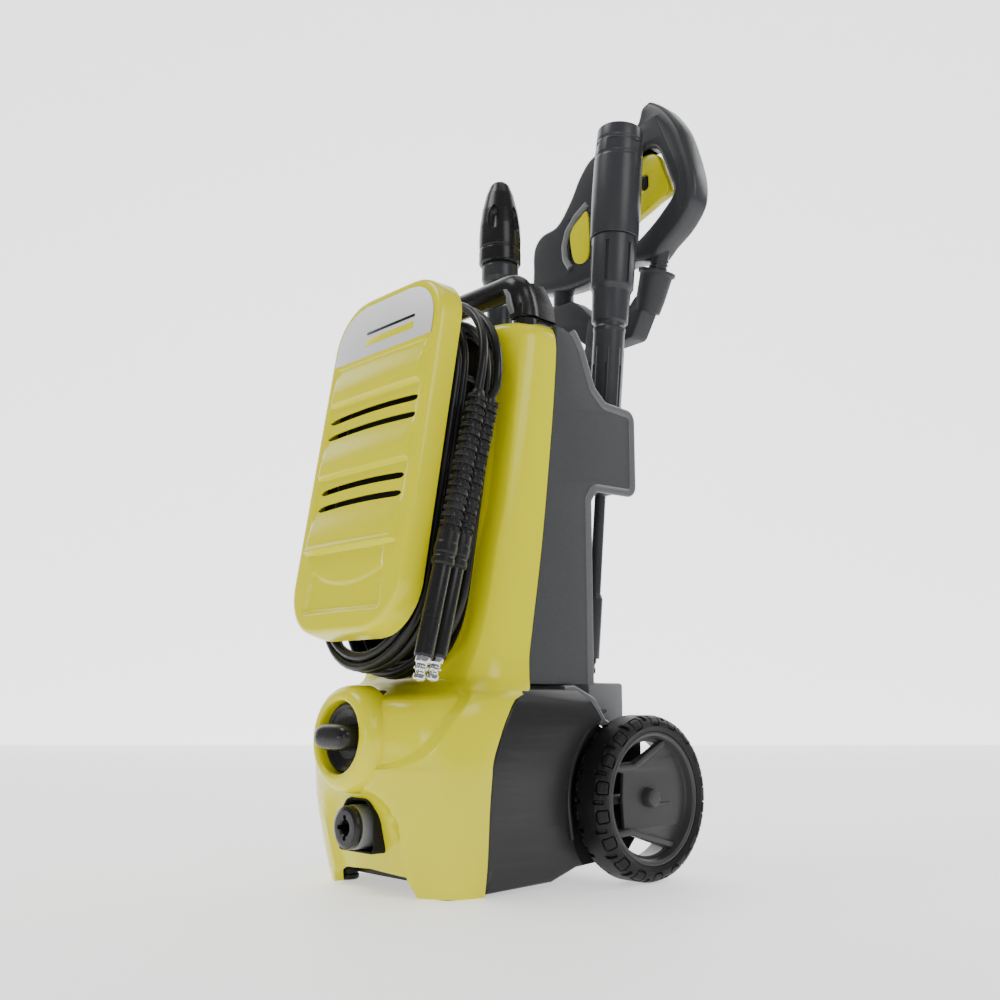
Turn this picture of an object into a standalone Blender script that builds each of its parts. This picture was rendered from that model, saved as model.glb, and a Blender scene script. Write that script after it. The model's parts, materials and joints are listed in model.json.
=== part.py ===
"""Upright cold-water pressure washer on two wheels, with its hose, spray lances and trigger gun.

Metres, +Z up, the front faces -Y.  The origin is on the floor, under the middle of the machine.
"""

import math

import bmesh
import bpy
from mathutils import Matrix, Vector

# Driving sizes of the housing
TOP_Z = 0.5675
SIDE_X = 0.1015
BASE_X = 0.118
WALL = 0.0025
GAP = 0.0005
SEAM = ((0.0015, -0.105), (0.030, -0.107), (0.080, -0.1095), (0.115, -0.108), (0.145, -0.098),
        (0.170, -0.083), (0.178, -0.078), (0.1885, -0.0515), (0.220, -0.046), (0.250, -0.041),
        (0.330, -0.028), (0.420, -0.0165), (0.500, -0.008), (0.545, -0.005), (TOP_Z, -0.005))

# Winding panel: a plane that leans back, with its own across, up and out directions
LEAN = math.radians(9.45)
PANEL_POINT = Vector((0, -0.1776, 0.400))
PANEL_UP = Vector((0, math.sin(LEAN), math.cos(LEAN)))
PANEL_OUT = Vector((0, -math.cos(LEAN), math.sin(LEAN)))
PANEL_HALF_X = 0.0935
PANEL_HALF_U = 0.1835
PANEL_MID_U = 0.0195
PANEL_DEPTH = 0.025
BODY_DEPTH = 0.088
HUB_DEPTH = 0.098

# Hose winding and its two plug ends
COIL_HALF_X = 0.0915
COIL_HALF_U = 0.193
COIL_MID_U = 0.0
COIL_BAND = 0.025
COIL_NEAR = 0.0285
COIL_FAR = 0.0855
HOSE_END_TOP = Vector((0.1115, -0.1212, 0.4707))
HOSE_END_AXIS = Vector((0, -0.241, -0.9705)).normalized()
HOSE_END_STEP = Vector((-0.0080, 0.0216, 0))

# Wheels and axle
WHEEL_R = 0.0813
RIM_R = 0.0655
WHEEL_IN_X = 0.1100
WHEEL_OUT_X = 0.1525
AXLE = Vector((0, 0.0804, WHEEL_R))
AXLE_R = 0.006
ARCH_R = 0.0875

# Handle
LEG_X = 0.0785
LEG_Y = -0.028
BAR_Y = -0.034
BAR_Z = 0.610
BAR_R = 0.0150
LEG_R = 0.0100

# Front controls
KNOB_POINT = Vector((0, -0.196, 0.143))
KNOB_AXIS = Vector((0, -math.cos(math.radians(3)), math.sin(math.radians(3))))
KNOB_R = 0.033
BEZEL_R = 0.048
OUTLET = Vector((0, -0.168, 0.060))

# Spray lance, rotor lance and gun
LANCE_TOP = Vector((0.0827, 0.1244, 0.8409))
LANCE_UP = Vector((0.0499, 0.0480, 0.9976)).normalized()
LANCE_HEAD = 0.136
ROTOR_XY = (-0.070, 0.070)
ROTOR_TOP_Z = 0.811
GUN_Y = 0.183
GUN_THICK = 0.030
TRIGGER_PIVOT = Vector((0.060, GUN_Y, 0.812))
CUP_LOW = Vector((0.0680, GUN_Y, 0.634))
CUP_AXIS = Vector((0.34, 0, 0.94)).normalized()

# Motor and pump
MOTOR_XY = (0, -0.026)

FINISHES = {
    "yellow": ((0.86, 0.78, 0.02), 0.30, 0.0),
    "dark": ((0.055, 0.057, 0.060), 0.55, 0.0),
    "black": ((0.012, 0.012, 0.013), 0.38, 0.0),
    "grey": ((0.28, 0.29, 0.30), 0.50, 0.0),
    "rubber": ((0.016, 0.016, 0.017), 0.75, 0.0),
    "steel": ((0.55, 0.56, 0.58), 0.30, 1.0),
    "chrome": ((0.80, 0.81, 0.83), 0.10, 1.0),
    "silver": ((0.62, 0.63, 0.65), 0.35, 1.0),
    "brass": ((0.70, 0.52, 0.25), 0.35, 1.0),
    "copper": ((0.65, 0.30, 0.16), 0.40, 1.0),
}

SIDE_PLANE = Matrix(((0, 0, 1), (1, 0, 0), (0, 1, 0))).to_4x4()
FRONT_PLANE = Matrix(((1, 0, 0), (0, 0, -1), (0, 1, 0))).to_4x4()


# ---------------------------------------------------------------- building blocks
def start_scene():
    """Empty the scene and make the two collections."""
    for old in list(bpy.data.objects):
        bpy.data.objects.remove(old, do_unlink=True)
    for name in ("pressure_washer", "cutters"):
        group = bpy.data.collections.get(name) or bpy.data.collections.new(name)
        if group.name not in bpy.context.scene.collection.children:
            bpy.context.scene.collection.children.link(group)


def paint(obj, finish):
    """Give a part its own Principled material."""
    colour, rough, metal = FINISHES[finish]
    material = bpy.data.materials.new(f"{obj.name}_{finish}")
    material.use_nodes = True
    shader = material.node_tree.nodes["Principled BSDF"]
    shader.inputs["Base Color"].default_value = (*colour, 1)
    shader.inputs["Roughness"].default_value = rough
    shader.inputs["Metallic"].default_value = metal
    obj.data.materials.clear()
    obj.data.materials.append(material)


def add(name, mesh, finish=None, smooth=35):
    """Put a mesh in the scene: a painted part, or a cutter when it has no finish."""
    obj = bpy.data.objects.new(name, mesh)
    if smooth:
        mesh.shade_smooth()
        mesh.set_sharp_from_angle(angle=math.radians(smooth))
    if finish:
        bpy.data.collections["pressure_washer"].objects.link(obj)
        paint(obj, finish)
    else:
        bpy.data.collections["cutters"].objects.link(obj)
        obj.hide_render = True
        obj.display_type = "WIRE"
    return obj


def mesh_of(bm, name):
    """Turn a bmesh into a mesh and free it."""
    mesh = bpy.data.meshes.new(name)
    bm.to_mesh(mesh)
    bm.free()
    return mesh


def box(name, low, high, finish=None):
    """A box between two corners."""
    bm = bmesh.new()
    bmesh.ops.create_cube(bm, size=1)
    low, high = Vector(low), Vector(high)
    place = Matrix.Translation((low + high) / 2) @ Matrix.Diagonal((*(high - low), 1))
    bmesh.ops.transform(bm, matrix=place, verts=bm.verts)
    return add(name, mesh_of(bm, name), finish, smooth=0)


def aim(start, along):
    """A matrix whose +Z runs along a direction from a point."""
    return Matrix.Translation(start) @ Vector(along).to_track_quat("Z", "Y").to_matrix().to_4x4()


def rod(name, start, end, radius, finish=None, end_radius=None, sides=16):
    """A cylinder or cone between two points."""
    start, end = Vector(start), Vector(end)
    span = end - start
    bm = bmesh.new()
    bmesh.ops.create_cone(bm, cap_ends=True, segments=sides, radius1=radius,
                          radius2=radius if end_radius is None else end_radius, depth=span.length)
    bmesh.ops.transform(bm, matrix=aim((start + end) / 2, span), verts=bm.verts)
    return add(name, mesh_of(bm, name), finish)


def turned(name, profile, start, along, finish=None, steps=18, ring=False):
    """A turned shape: (radius, height) points down the outer side, spun about an axis."""
    bm = bmesh.new()
    verts = [bm.verts.new((radius, 0, height)) for radius, height in profile]
    pairs = list(zip(verts, verts[1:]))
    if ring:
        pairs.append((verts[-1], verts[0]))
    for pair in pairs:
        bm.edges.new(pair)
    obj = add(name, mesh_of(bm, name), finish, smooth=0)
    screw = obj.modifiers.new("turn", "SCREW")
    screw.angle = 2 * math.pi
    screw.steps = screw.render_steps = steps
    screw.use_merge_vertices = True
    screw.merge_threshold = 0.00001
    screw.use_smooth_shade = True
    obj.matrix_world = aim(start, along)
    return obj


def curve_mesh(name, data, place, finish, smooth=35):
    """Turn curve data into a welded mesh part."""
    holder = bpy.data.objects.new(name + "_curve", data)
    bpy.context.scene.collection.objects.link(holder)
    bpy.context.view_layer.update()
    mesh = bpy.data.meshes.new_from_object(holder.evaluated_get(bpy.context.evaluated_depsgraph_get()))
    bpy.data.objects.remove(holder)
    bm = bmesh.new()
    bm.from_mesh(mesh)
    bmesh.ops.transform(bm, matrix=place, verts=bm.verts)
    bmesh.ops.remove_doubles(bm, verts=bm.verts, dist=0.00001)
    bmesh.ops.recalc_face_normals(bm, faces=bm.faces)
    return add(name, mesh_of(bm, name), finish, smooth)


def prism(name, loops, thickness, place, finish=None):
    """A flat outline with holes, extruded both ways from its plane."""
    data = bpy.data.curves.new(name, "CURVE")
    data.dimensions = "2D"
    data.fill_mode = "BOTH"
    data.extrude = thickness / 2
    for loop in loops:
        spline = data.splines.new("POLY")
        spline.points.add(len(loop) - 1)
        for point, (a, b) in zip(spline.points, loop):
            point.co = (a, b, 0, 1)
        spline.use_cyclic_u = True
    return curve_mesh(name, data, place, finish)


def tube(name, points, radius, finish=None, sides=2):
    """A round tube along a line of points."""
    data = bpy.data.curves.new(name, "CURVE")
    data.dimensions = "3D"
    data.bevel_depth = radius
    data.bevel_resolution = sides
    data.use_fill_caps = True
    spline = data.splines.new("POLY")
    spline.points.add(len(points) - 1)
    for point, place in zip(spline.points, points):
        point.co = (*place, 1)
    return curve_mesh(name, data, Matrix(), finish)


def boolean(target, other, operation):
    """Cut, join or intersect a part with another object."""
    modifier = target.modifiers.new(other.name, "BOOLEAN")
    modifier.operation = operation
    modifier.solver = "EXACT"
    modifier.object = other


def cut(target, *others):
    """Take cutters away from a part."""
    for other in others:
        boolean(target, other, "DIFFERENCE")


def join(target, *others):
    """Add shapes to a part."""
    for other in others:
        boolean(target, other, "UNION")


def fillet(corners, steps=4):
    """Round the corners (a, b, radius) of a closed outline."""
    outline = []
    for i, (a, b, radius) in enumerate(corners):
        corner = Vector((a, b))
        before = Vector(corners[i - 1][:2]) - corner
        after = Vector(corners[(i + 1) % len(corners)][:2]) - corner
        if radius <= 0:
            outline.append(tuple(corner))
            continue
        reach = radius / math.tan(before.angle(after) / 2)
        start = corner + before.normalized() * reach
        end = corner + after.normalized() * reach
        for k in range(steps + 1):
            t = k / steps
            outline.append(tuple(start * (1 - t) ** 2 + corner * 2 * t * (1 - t) + end * t ** 2))
    return outline


def smooth_loop(points, steps=3):
    """A closed curve through points, by Catmull-Rom."""
    loop = []
    count = len(points)
    for i in range(count):
        a, b, c, d = (Vector(points[(i + k - 1) % count]) for k in range(4))
        for k in range(steps):
            t = k / steps
            loop.append(tuple(0.5 * (2 * b + (c - a) * t + (2 * a - 5 * b + 4 * c - d) * t ** 2
                                     + (3 * b - a - 3 * c + d) * t ** 3)))
    return loop


def rounded_rect(half_x, half_u, radius, mid_u=0.0, steps=4):
    """Points of a rounded rectangle, anticlockwise."""
    points = []
    for cx, cu, turn in ((1, 1, 0), (-1, 1, 90), (-1, -1, 180), (1, -1, 270)):
        for k in range(steps + 1):
            angle = math.radians(turn + 90 * k / steps)
            points.append((cx * (half_x - radius) + radius * math.cos(angle),
                           mid_u + cu * (half_u - radius) + radius * math.sin(angle)))
    return points


def panel_place(out=0.0):
    """The winding panel's frame, moved out along its normal."""
    turn = Matrix((Vector((1, 0, 0)), PANEL_UP, PANEL_OUT)).transposed().to_4x4()
    return Matrix.Translation(PANEL_POINT + PANEL_OUT * out) @ turn


def table(rows, at):
    """Read a value from (position, value) rows by straight lines."""
    for (a, low), (b, high) in zip(rows, rows[1:]):
        if at <= b:
            return low + (high - low) * (at - a) / (b - a)
    return rows[-1][1]


def hinge_empty(name, place, parts):
    """An empty on a joint's axis that carries the parts that move with it."""
    empty = bpy.data.objects.new(name, None)
    empty.empty_display_size = 0.02
    bpy.data.collections["pressure_washer"].objects.link(empty)
    empty.matrix_world = place
    for part in parts:
        part.parent = empty
        part.matrix_parent_inverse = place.inverted()


# ---------------------------------------------------------------- housing
def body_front(height):
    """Front face of the tall housing, parallel to the winding panel."""
    return PANEL_POINT.y + (BODY_DEPTH + (height - PANEL_POINT.z) * math.sin(LEAN)) / math.cos(LEAN)


def front_section(height, half_x, front_y, power):
    """A U-shaped section of the front shell at one height, from right to left."""
    seam_y = table(SEAM, height)
    count = 17
    points = []
    for k in range(count):
        angle = math.pi * k / (count - 1)
        across = math.copysign(abs(math.cos(angle)) ** (2 / power), math.cos(angle))
        forward = math.sin(angle) ** (2 / power)
        points.append(Vector((half_x * across, seam_y + (front_y - seam_y) * forward, height)))
    return points


def front_shell():
    """Yellow front housing: bulging base, nose ledge and tall leaning front."""
    rows = [(0.0015, 0.104, -0.160, 2.6), (0.030, 0.110, -0.168, 2.5), (0.080, 0.116, -0.180, 2.4),
            (0.115, BASE_X, -0.188, 2.2), (0.145, BASE_X, -0.193, 2.2), (0.170, 0.1165, -0.189, 2.3),
            (0.178, 0.1143, -0.184, 2.4), (0.1830, 0.1122, -0.174, 2.6), (0.1865, 0.1100, -0.146, 3.0),
            (0.1885, 0.1080, -0.118, 3.6)]
    rows += [(z, SIDE_X, body_front(z), 4.5) for z in (0.220, 0.250, 0.330, 0.420, 0.500, 0.545)]
    rows += [(0.560, 0.0975, body_front(0.553), 4.0), (TOP_Z, 0.0890, body_front(0.545) + 0.004, 3.5)]
    rings = [front_section(*row) for row in rows]
    bm = bmesh.new()
    lines = [[bm.verts.new(p) for p in ring] for ring in rings]
    for low, high in zip(lines, lines[1:]):
        for i in range(len(low) - 1):
            bm.faces.new((low[i], high[i], high[i + 1], low[i + 1]))
    bm.faces.new(reversed(lines[-1]))
    shell = add("front_shell", mesh_of(bm, "front_shell"), "yellow", smooth=40)
    wall = shell.modifiers.new("wall", "SOLIDIFY")
    wall.thickness = WALL
    wall.offset = -1
    arch = fillet([(-0.031, 0.036, 0.004), (0.031, 0.036, 0.004), (0.031, 0.088, 0.018),
                   (-0.031, 0.088, 0.018)])
    feet_arch = fillet([(-0.062, -0.010, 0), (0.062, -0.010, 0), (0.054, 0.013, 0.006), (-0.054, 0.013,
                                                                                         0.006)])
    behind = [(y - GAP, z) for z, y in SEAM] + [(0.05, 0.60), (0.05, -0.01), (SEAM[0][1] - GAP, -0.01)]
    cut(shell,
        prism("seam_cut", [behind], 0.30, SIDE_PLANE),
        rod("knob_cut", KNOB_POINT - KNOB_AXIS * 0.05, KNOB_POINT + KNOB_AXIS * 0.05, BEZEL_R + GAP,
            sides=28),
        prism("outlet_cut", [arch], 0.10, Matrix.Translation((0, -0.190, 0)) @ FRONT_PLANE),
        prism("feet_cut", [feet_arch], 0.12, Matrix.Translation((0, -0.180, 0)) @ FRONT_PLANE),
        prism("hub_cut", [rounded_rect(0.0605, 0.1205, 0.030)], 0.05, panel_place(-0.103)))
    for side in (-1, 1):
        cut(shell, rod("leg_cut", (side * LEG_X, LEG_Y, 0.54), (side * LEG_X, LEG_Y, 0.60), 0.0136))


def seam_points(low, high):
    """The seam line in side view, just behind the front shell's edge, going up."""
    heights = [low] + [z for z, _ in SEAM if low < z < high] + [high]
    return [(table(SEAM, z) + GAP, z, 0) for z in heights]


def rear_shell():
    """Dark rear housing with a back wall and two side wings around the lances."""
    back = [(0.018, 0.5635, 0.006), (0.0300, 0.547, 0.010), (0.0480, 0.505, 0.010), (0.0700, 0.487, 0.012),
            (0.1080, 0.485, 0.004), (0.1080, 0.404, 0.004), (0.0500, 0.403, 0.012), (0.0370, 0.380, 0.010),
            (0.0370, 0.1925, 0)]
    side = fillet(seam_points(0.1925, TOP_Z) + back)
    shell = prism("rear_shell", [side], 2 * SIDE_X, SIDE_PLANE, "dark")
    inner = [(-0.1, 0.15), (0.0325, 0.15), (0.0325, 0.522), (0.0240, 0.546), (0.0120, 0.5585), (-0.1, 0.5640)]
    recess = [(0.0365, 0.15), (0.20, 0.15), (0.20, 0.60), (0.0365, 0.60)]
    cut(shell, prism("rear_inner_cut", [inner], 2 * SIDE_X - 0.006, SIDE_PLANE),
        prism("rear_recess_cut", [recess], 2 * SIDE_X - 0.009, SIDE_PLANE))


def base_shell():
    """Black base with a shoulder, wheel arches and a floor that rises towards the back."""
    back = [(0.0110, 0.1885, 0.004), (0.0285, 0.1780, 0.006), (0.0420, 0.1570, 0.006), (0.0520, 0.1500, 0),
            (0.1120, 0.1460, 0.006), (0.1120, 0.0500, 0.010), (0.0850, 0.0220, 0.010), (0.0110, 0.0170, 0)]
    side = fillet(seam_points(0.0030, 0.1885) + back)
    shell = prism("base_shell", [side], 2 * BASE_X + 0.01, SIDE_PLANE, "black")
    half = [(0.104, 0.0), (0.110, 0.030), (0.116, 0.080), (BASE_X, 0.115), (BASE_X, 0.150), (0.1160, 0.170),
            (0.1060, 0.200)]
    outline = half + [(-x, z) for x, z in reversed(half)]
    boolean(shell, prism("base_front_view", [outline], 0.5, FRONT_PLANE), "INTERSECT")
    inner = [(-0.15, 0.0060), (0.0100, 0.0200), (0.0840, 0.0250), (0.1085, 0.0520), (0.1085, 0.1425),
             (0.0500, 0.1465), (0.0380, 0.1550), (0.0250, 0.1755), (0.0100, 0.1855), (-0.15, 0.1855)]
    wide = [(-0.15, 0.075), (-0.012, 0.075), (-0.012, 0.150), (-0.15, 0.150)]
    cut(shell, prism("base_inner_cut", [inner], 0.200, SIDE_PLANE),
        box("base_roof_cut", (-0.090, -0.15, 0.170), (0.090, 0.0185, 0.200)),
        prism("base_wide_cut", [wide], 0.2250, SIDE_PLANE),
        rod("axle_cut", (-0.15, *AXLE.yz), (0.15, *AXLE.yz), AXLE_R + 0.0003),
        rod("gland_cut", (0.045, 0.09, 0.118), (0.045, 0.13, 0.118), 0.0143))
    for side_sign in (-1, 1):
        cut(shell, rod("arch_cut", (side_sign * 0.1045, *AXLE.yz), (side_sign * 0.14, *AXLE.yz), ARCH_R,
                       sides=36))


def handle_guide():
    """Two collars on one bridge, under the housing's top, that the handle legs slide through."""
    guide = box("handle_guide", (-0.088, LEG_Y - 0.010, 0.5300), (0.088, LEG_Y + 0.010, 0.5360), "black")
    for side in (-1, 1):
        join(guide, rod("collar_join", (side * LEG_X, LEG_Y, 0.5300), (side * LEG_X, LEG_Y, 0.5715), 0.0130))
        cut(guide, rod("collar_cut", (side * LEG_X, LEG_Y, 0.52), (side * LEG_X, LEG_Y, 0.58), 0.0105))


def feet():
    """Rubber pads under the two front feet."""
    for side, name in ((1, "foot_pad_right"), (-1, "foot_pad_left")):
        rod(name, (side * 0.080, -0.128, 0.0), (side * 0.080, -0.128, 0.012), 0.0115, "rubber", sides=20)


def lance_on_axis(height):
    """The point of the spray lance's axis at a height."""
    return LANCE_TOP + LANCE_UP * ((height - LANCE_TOP.z) / LANCE_UP.z)


def lance_holder():
    """Block between the wings with a closed socket on the left and a clip on the right."""
    block = box("lance_holder", (-0.0965, 0.0372, 0.4145), (0.0965, 0.1075, 0.4760), "dark")
    low, high = lance_on_axis(0.40), lance_on_axis(0.50)
    clip = rod("clip_join", lance_on_axis(0.4145), lance_on_axis(0.4760), 0.0240, sides=20)
    slot = box("clip_slot_cut", (low.x - 0.0115, 0.108, 0.40), (low.x + 0.0135, 0.16, 0.49))
    join(block, clip)
    cut(block, rod("clip_cut", low, high, 0.0188, sides=20), slot,
        rod("socket_cut", (*ROTOR_XY, 0.40), (*ROTOR_XY, 0.49), 0.0188, sides=20))


def lance_rest():
    """Grey shelf over the wheels with a shallow socket under each lance."""
    shelf = box("lance_rest", (-0.0850, 0.0560, 0.1508), (0.0850, 0.1100, 0.1960), "grey")
    tip = lance_on_axis(0.205)
    cut(shelf, rod("rest_cut_right", (tip.x, tip.y, 0.186), (tip.x, tip.y, 0.21), 0.0120),
        rod("rest_cut_left", (*ROTOR_XY, 0.186), (*ROTOR_XY, 0.21), 0.0085),
        box("rest_under_cut", (-0.078, 0.0600, 0.14), (0.078, 0.1060, 0.180)))


def gun_holder():
    """Bracket behind the lances: a leaning post, a cradle for the barrel and a cup for the grip."""
    post = fillet([(0.060, 0.4765, 0), (0.100, 0.4765, 0), (0.125, 0.500, 0.02), (0.196, 0.590, 0.02),
                   (0.196, 0.645, 0.004), (0.168, 0.645, 0.004), (0.160, 0.600, 0.02), (0.085, 0.515, 0.02),
                   (0.060, 0.500, 0.01)])
    holder = prism("gun_holder", [post], 0.032, SIDE_PLANE, "black")
    arm = fillet([(-0.100, 0.676, 0.003), (-0.100, 0.652, 0.010), (-0.050, 0.634, 0.015), (-0.010, 0.602,
                                                                                           0.015),
                  (0.055, 0.604, 0.010), (0.076, 0.640, 0.004), (0.062, 0.655, 0.004), (0.040, 0.634, 0.010),
                  (0.000, 0.634, 0.010), (-0.030, 0.664, 0.010), (-0.045, 0.676, 0.003)])
    cup = rod("cup_join", CUP_LOW, CUP_LOW + CUP_AXIS * 0.050, 0.0150, end_radius=0.0225, sides=20)
    hollow = rod("cup_cut", CUP_LOW + CUP_AXIS * 0.004, CUP_LOW + CUP_AXIS * 0.056, 0.0125,
                 end_radius=0.0210, sides=20)
    join(holder, prism("arm_join", [arm], 0.028, Matrix.Translation((0, GUN_Y, 0)) @ FRONT_PLANE), cup)
    cut(holder, hollow, rod("cradle_cut", (-0.072, GUN_Y, 0.69), (-0.072, GUN_Y, 0.6640), 0.0142))


def cable_hooks():
    """Two hooks on the back wall for winding the mains lead; the upper one turns."""
    hook = fillet([(0.0370, -0.007, 0), (0.0780, -0.007, 0.003), (0.0780, 0.024, 0.003), (0.0720, 0.024,
                                                                                          0.003),
                   (0.0700, 0.003, 0.004), (0.0370, 0.003, 0)])
    lower = [(y, 0.245 - z) for y, z in hook]
    upper = [(y + 0.0045, 0.345 + z) for y, z in hook]
    prism("cable_hook_lower", [lower], 0.040, SIDE_PLANE, "black")
    moving = prism("cable_hook_upper", [upper], 0.040, SIDE_PLANE, "black")
    join(moving, rod("pivot_join", (0, 0.0370, 0.3435), (0, 0.0420, 0.3435), 0.012))
    hinge_empty("cable_hook_turn_axis", aim((0, 0.0411, 0.3435), (0, 1, 0)), [moving])


def fittings():
    """Cable gland, water inlet with its filter, and the axle."""
    turned("cable_gland", [(0.0042, 0.020), (0.0070, 0.020), (0.0088, 0.0045), (0.0120, 0.0040),
                           (0.0120, 0.0), (0.0042, 0.0)],
           (-0.050, 0.0369, 0.222), (0, 1, 0), "rubber", ring=True)
    turned("water_inlet", [(0.0080, 0.062), (0.0125, 0.062), (0.0140, 0.058), (0.0140, 0.028),
                           (0.0165, 0.026), (0.0165, 0.0185), (0.0139, 0.0180), (0.0139, 0.0), (0.0080, 0.0)],
           (0.045, 0.0960, 0.118), (0, 1, 0), "dark", ring=True)
    turned("inlet_filter", [(0.0, 0.030), (0.0045, 0.030), (0.0075, 0.004), (0.0075, 0.0), (0.0, 0.0)],
           (0.045, 0.1240, 0.118), (0, 1, 0), "steel", steps=16)
    rod("axle", (-0.1497, *AXLE.yz), (0.1497, *AXLE.yz), AXLE_R, "steel")


# ---------------------------------------------------------------- winding panel and hose
def panel():
    """Yellow front cover of the hose winding, its badge and the hub behind it."""
    def ring(inset, out, radius):
        flat = rounded_rect(PANEL_HALF_X - inset, PANEL_HALF_U - inset, radius, PANEL_MID_U, steps=5)
        return [panel_place(out) @ Vector((x, u, 0)) for x, u in flat]

    rings = [ring(0.0090, 0.0, 0.043), ring(0.0055, -0.0015, 0.046), ring(0.0035, -0.0060, 0.048),
             ring(0.0, -PANEL_DEPTH, 0.051)]
    bm = bmesh.new()
    lines = [[bm.verts.new(p) for p in points] for points in rings]
    for near, far in zip(lines, lines[1:]):
        for i in range(len(near)):
            j = (i + 1) % len(near)
            bm.faces.new((near[i], far[i], far[j], near[j]))
    bm.faces.new(lines[0])
    cover = add("winding_panel", mesh_of(bm, "winding_panel"), "yellow", smooth=30)
    wall = cover.modifiers.new("wall", "SOLIDIFY")
    wall.thickness = WALL
    wall.offset = -1
    for mid_u, half_x in ((0.066, 0.076), (0.048, 0.076), (-0.013, 0.071), (-0.031, 0.071)):
        slot = rounded_rect(half_x, 0.0026, 0.0024, mid_u, steps=2)
        cut(cover, prism("slot_cut", [slot], 0.03, panel_place()))
    badge = fillet([(-0.081, 0.130, 0.002), (0.081, 0.130, 0.002), (0.081, 0.190, 0.038), (-0.081, 0.190,
                                                                                           0.038)], 6)
    prism("panel_badge", [badge], 0.0010, panel_place(0.0009), "silver")
    prism("winding_hub", [rounded_rect(0.060, 0.120, 0.030), rounded_rect(0.057, 0.117, 0.027)],
          HUB_DEPTH - 0.003, panel_place(-(0.003 + HUB_DEPTH) / 2), "dark")


def hose():
    """The wound hose as one plain ring, and its two plug ends."""
    radius = COIL_HALF_X - 0.004
    outer = rounded_rect(COIL_HALF_X, COIL_HALF_U, radius, COIL_MID_U, steps=6)
    inner = rounded_rect(COIL_HALF_X - COIL_BAND, COIL_HALF_U - COIL_BAND, radius - COIL_BAND, COIL_MID_U,
                         steps=6)
    prism("hose_coil", [outer, inner], COIL_FAR - COIL_NEAR, panel_place(-(COIL_NEAR + COIL_FAR) / 2),
          "rubber")
    for name, shift in (("inner", HOSE_END_STEP * 0), ("outer", HOSE_END_STEP)):
        turned(f"hose_end_{name}", [(0.0, 0.2850), (0.0050, 0.2850), (0.0055, 0.2800), (0.0040, 0.2780),
                                    (0.0055, 0.2740), (0.0072, 0.2720), (0.0072, 0.2620), (0.0090, 0.2620),
                                    (0.0090, 0.1790), (0.0110, 0.1770), (0.0110, 0.1560), (0.0102, 0.1540),
                                    (0.0102, 0.0080), (0.0070, 0.0), (0.0, 0.0)],
               HOSE_END_TOP + shift, HOSE_END_AXIS, "rubber", steps=20)


# ---------------------------------------------------------------- front controls
def switch():
    """Rotary switch: fixed ring, turning knob and the switch box behind it."""
    bore = KNOB_R + 0.0008
    turned("switch_bezel", [(bore, 0.003), (0.0400, 0.0055), (BEZEL_R, -0.004), (BEZEL_R, -0.028), (bore,
                                                                                                    -0.028)],
           KNOB_POINT, KNOB_AXIS, "yellow", steps=24, ring=True)
    knob = turned("switch_knob", [(0.0, -0.006), (0.026, -0.006), (KNOB_R, -0.010), (KNOB_R, -0.024),
                                  (0.0045, -0.024), (0.0045, -0.034), (0.0, -0.034)],
                  KNOB_POINT, KNOB_AXIS, "black", steps=18)
    wing = fillet([(-0.024, -0.010, 0.006), (0.024, -0.010, 0.006), (0.024, 0.010, 0.006), (-0.024,
                                                                                            0.010, 0.006)])
    tilt = Matrix.Rotation(math.radians(-3), 4, "X")
    place = Matrix.Translation(KNOB_POINT + KNOB_AXIS * 0.003) @ tilt @ FRONT_PLANE
    join(knob, prism("wing_join", [wing], 0.024, place))
    hinge_empty("switch_axis", aim(KNOB_POINT, KNOB_AXIS), [knob])
    box("switch_box", (-0.020, -0.1590, 0.118), (0.020, -0.1280, 0.160), "dark")


def outlet():
    """High-pressure outlet in its recess, with a sliding release collar."""
    recess = box("outlet_recess", (-0.0290, -0.1745, 0.0375), (0.0290, -0.1400, 0.0862), "yellow")
    cut(recess, box("recess_cut", (-0.0270, -0.20, 0.0395), (0.0270, -0.1420, 0.0842)),
        rod("recess_hole_cut", (0, -0.16, OUTLET.z), (0, -0.12, OUTLET.z), 0.0134))
    turned("outlet_socket", [(0.0, -0.018), (0.0080, -0.018), (0.0080, 0.020), (0.0190, 0.020),
                             (0.0200, 0.018), (0.0200, 0.0135), (0.0150, 0.0130), (0.0150, -0.022),
                             (0.0130, -0.023), (0.0130, -0.046), (0.0, -0.046)],
           OUTLET, (0, -1, 0), "black", steps=20)
    collar = turned("outlet_release", [(0.0153, 0.0128), (0.0205, 0.0128), (0.0205, -0.0060),
                                       (0.0153, -0.0060)],
                    OUTLET, (0, -1, 0), "grey", steps=20, ring=True)
    hinge_empty("outlet_release_axis", aim(OUTLET, (0, 1, 0)), [collar])


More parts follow.
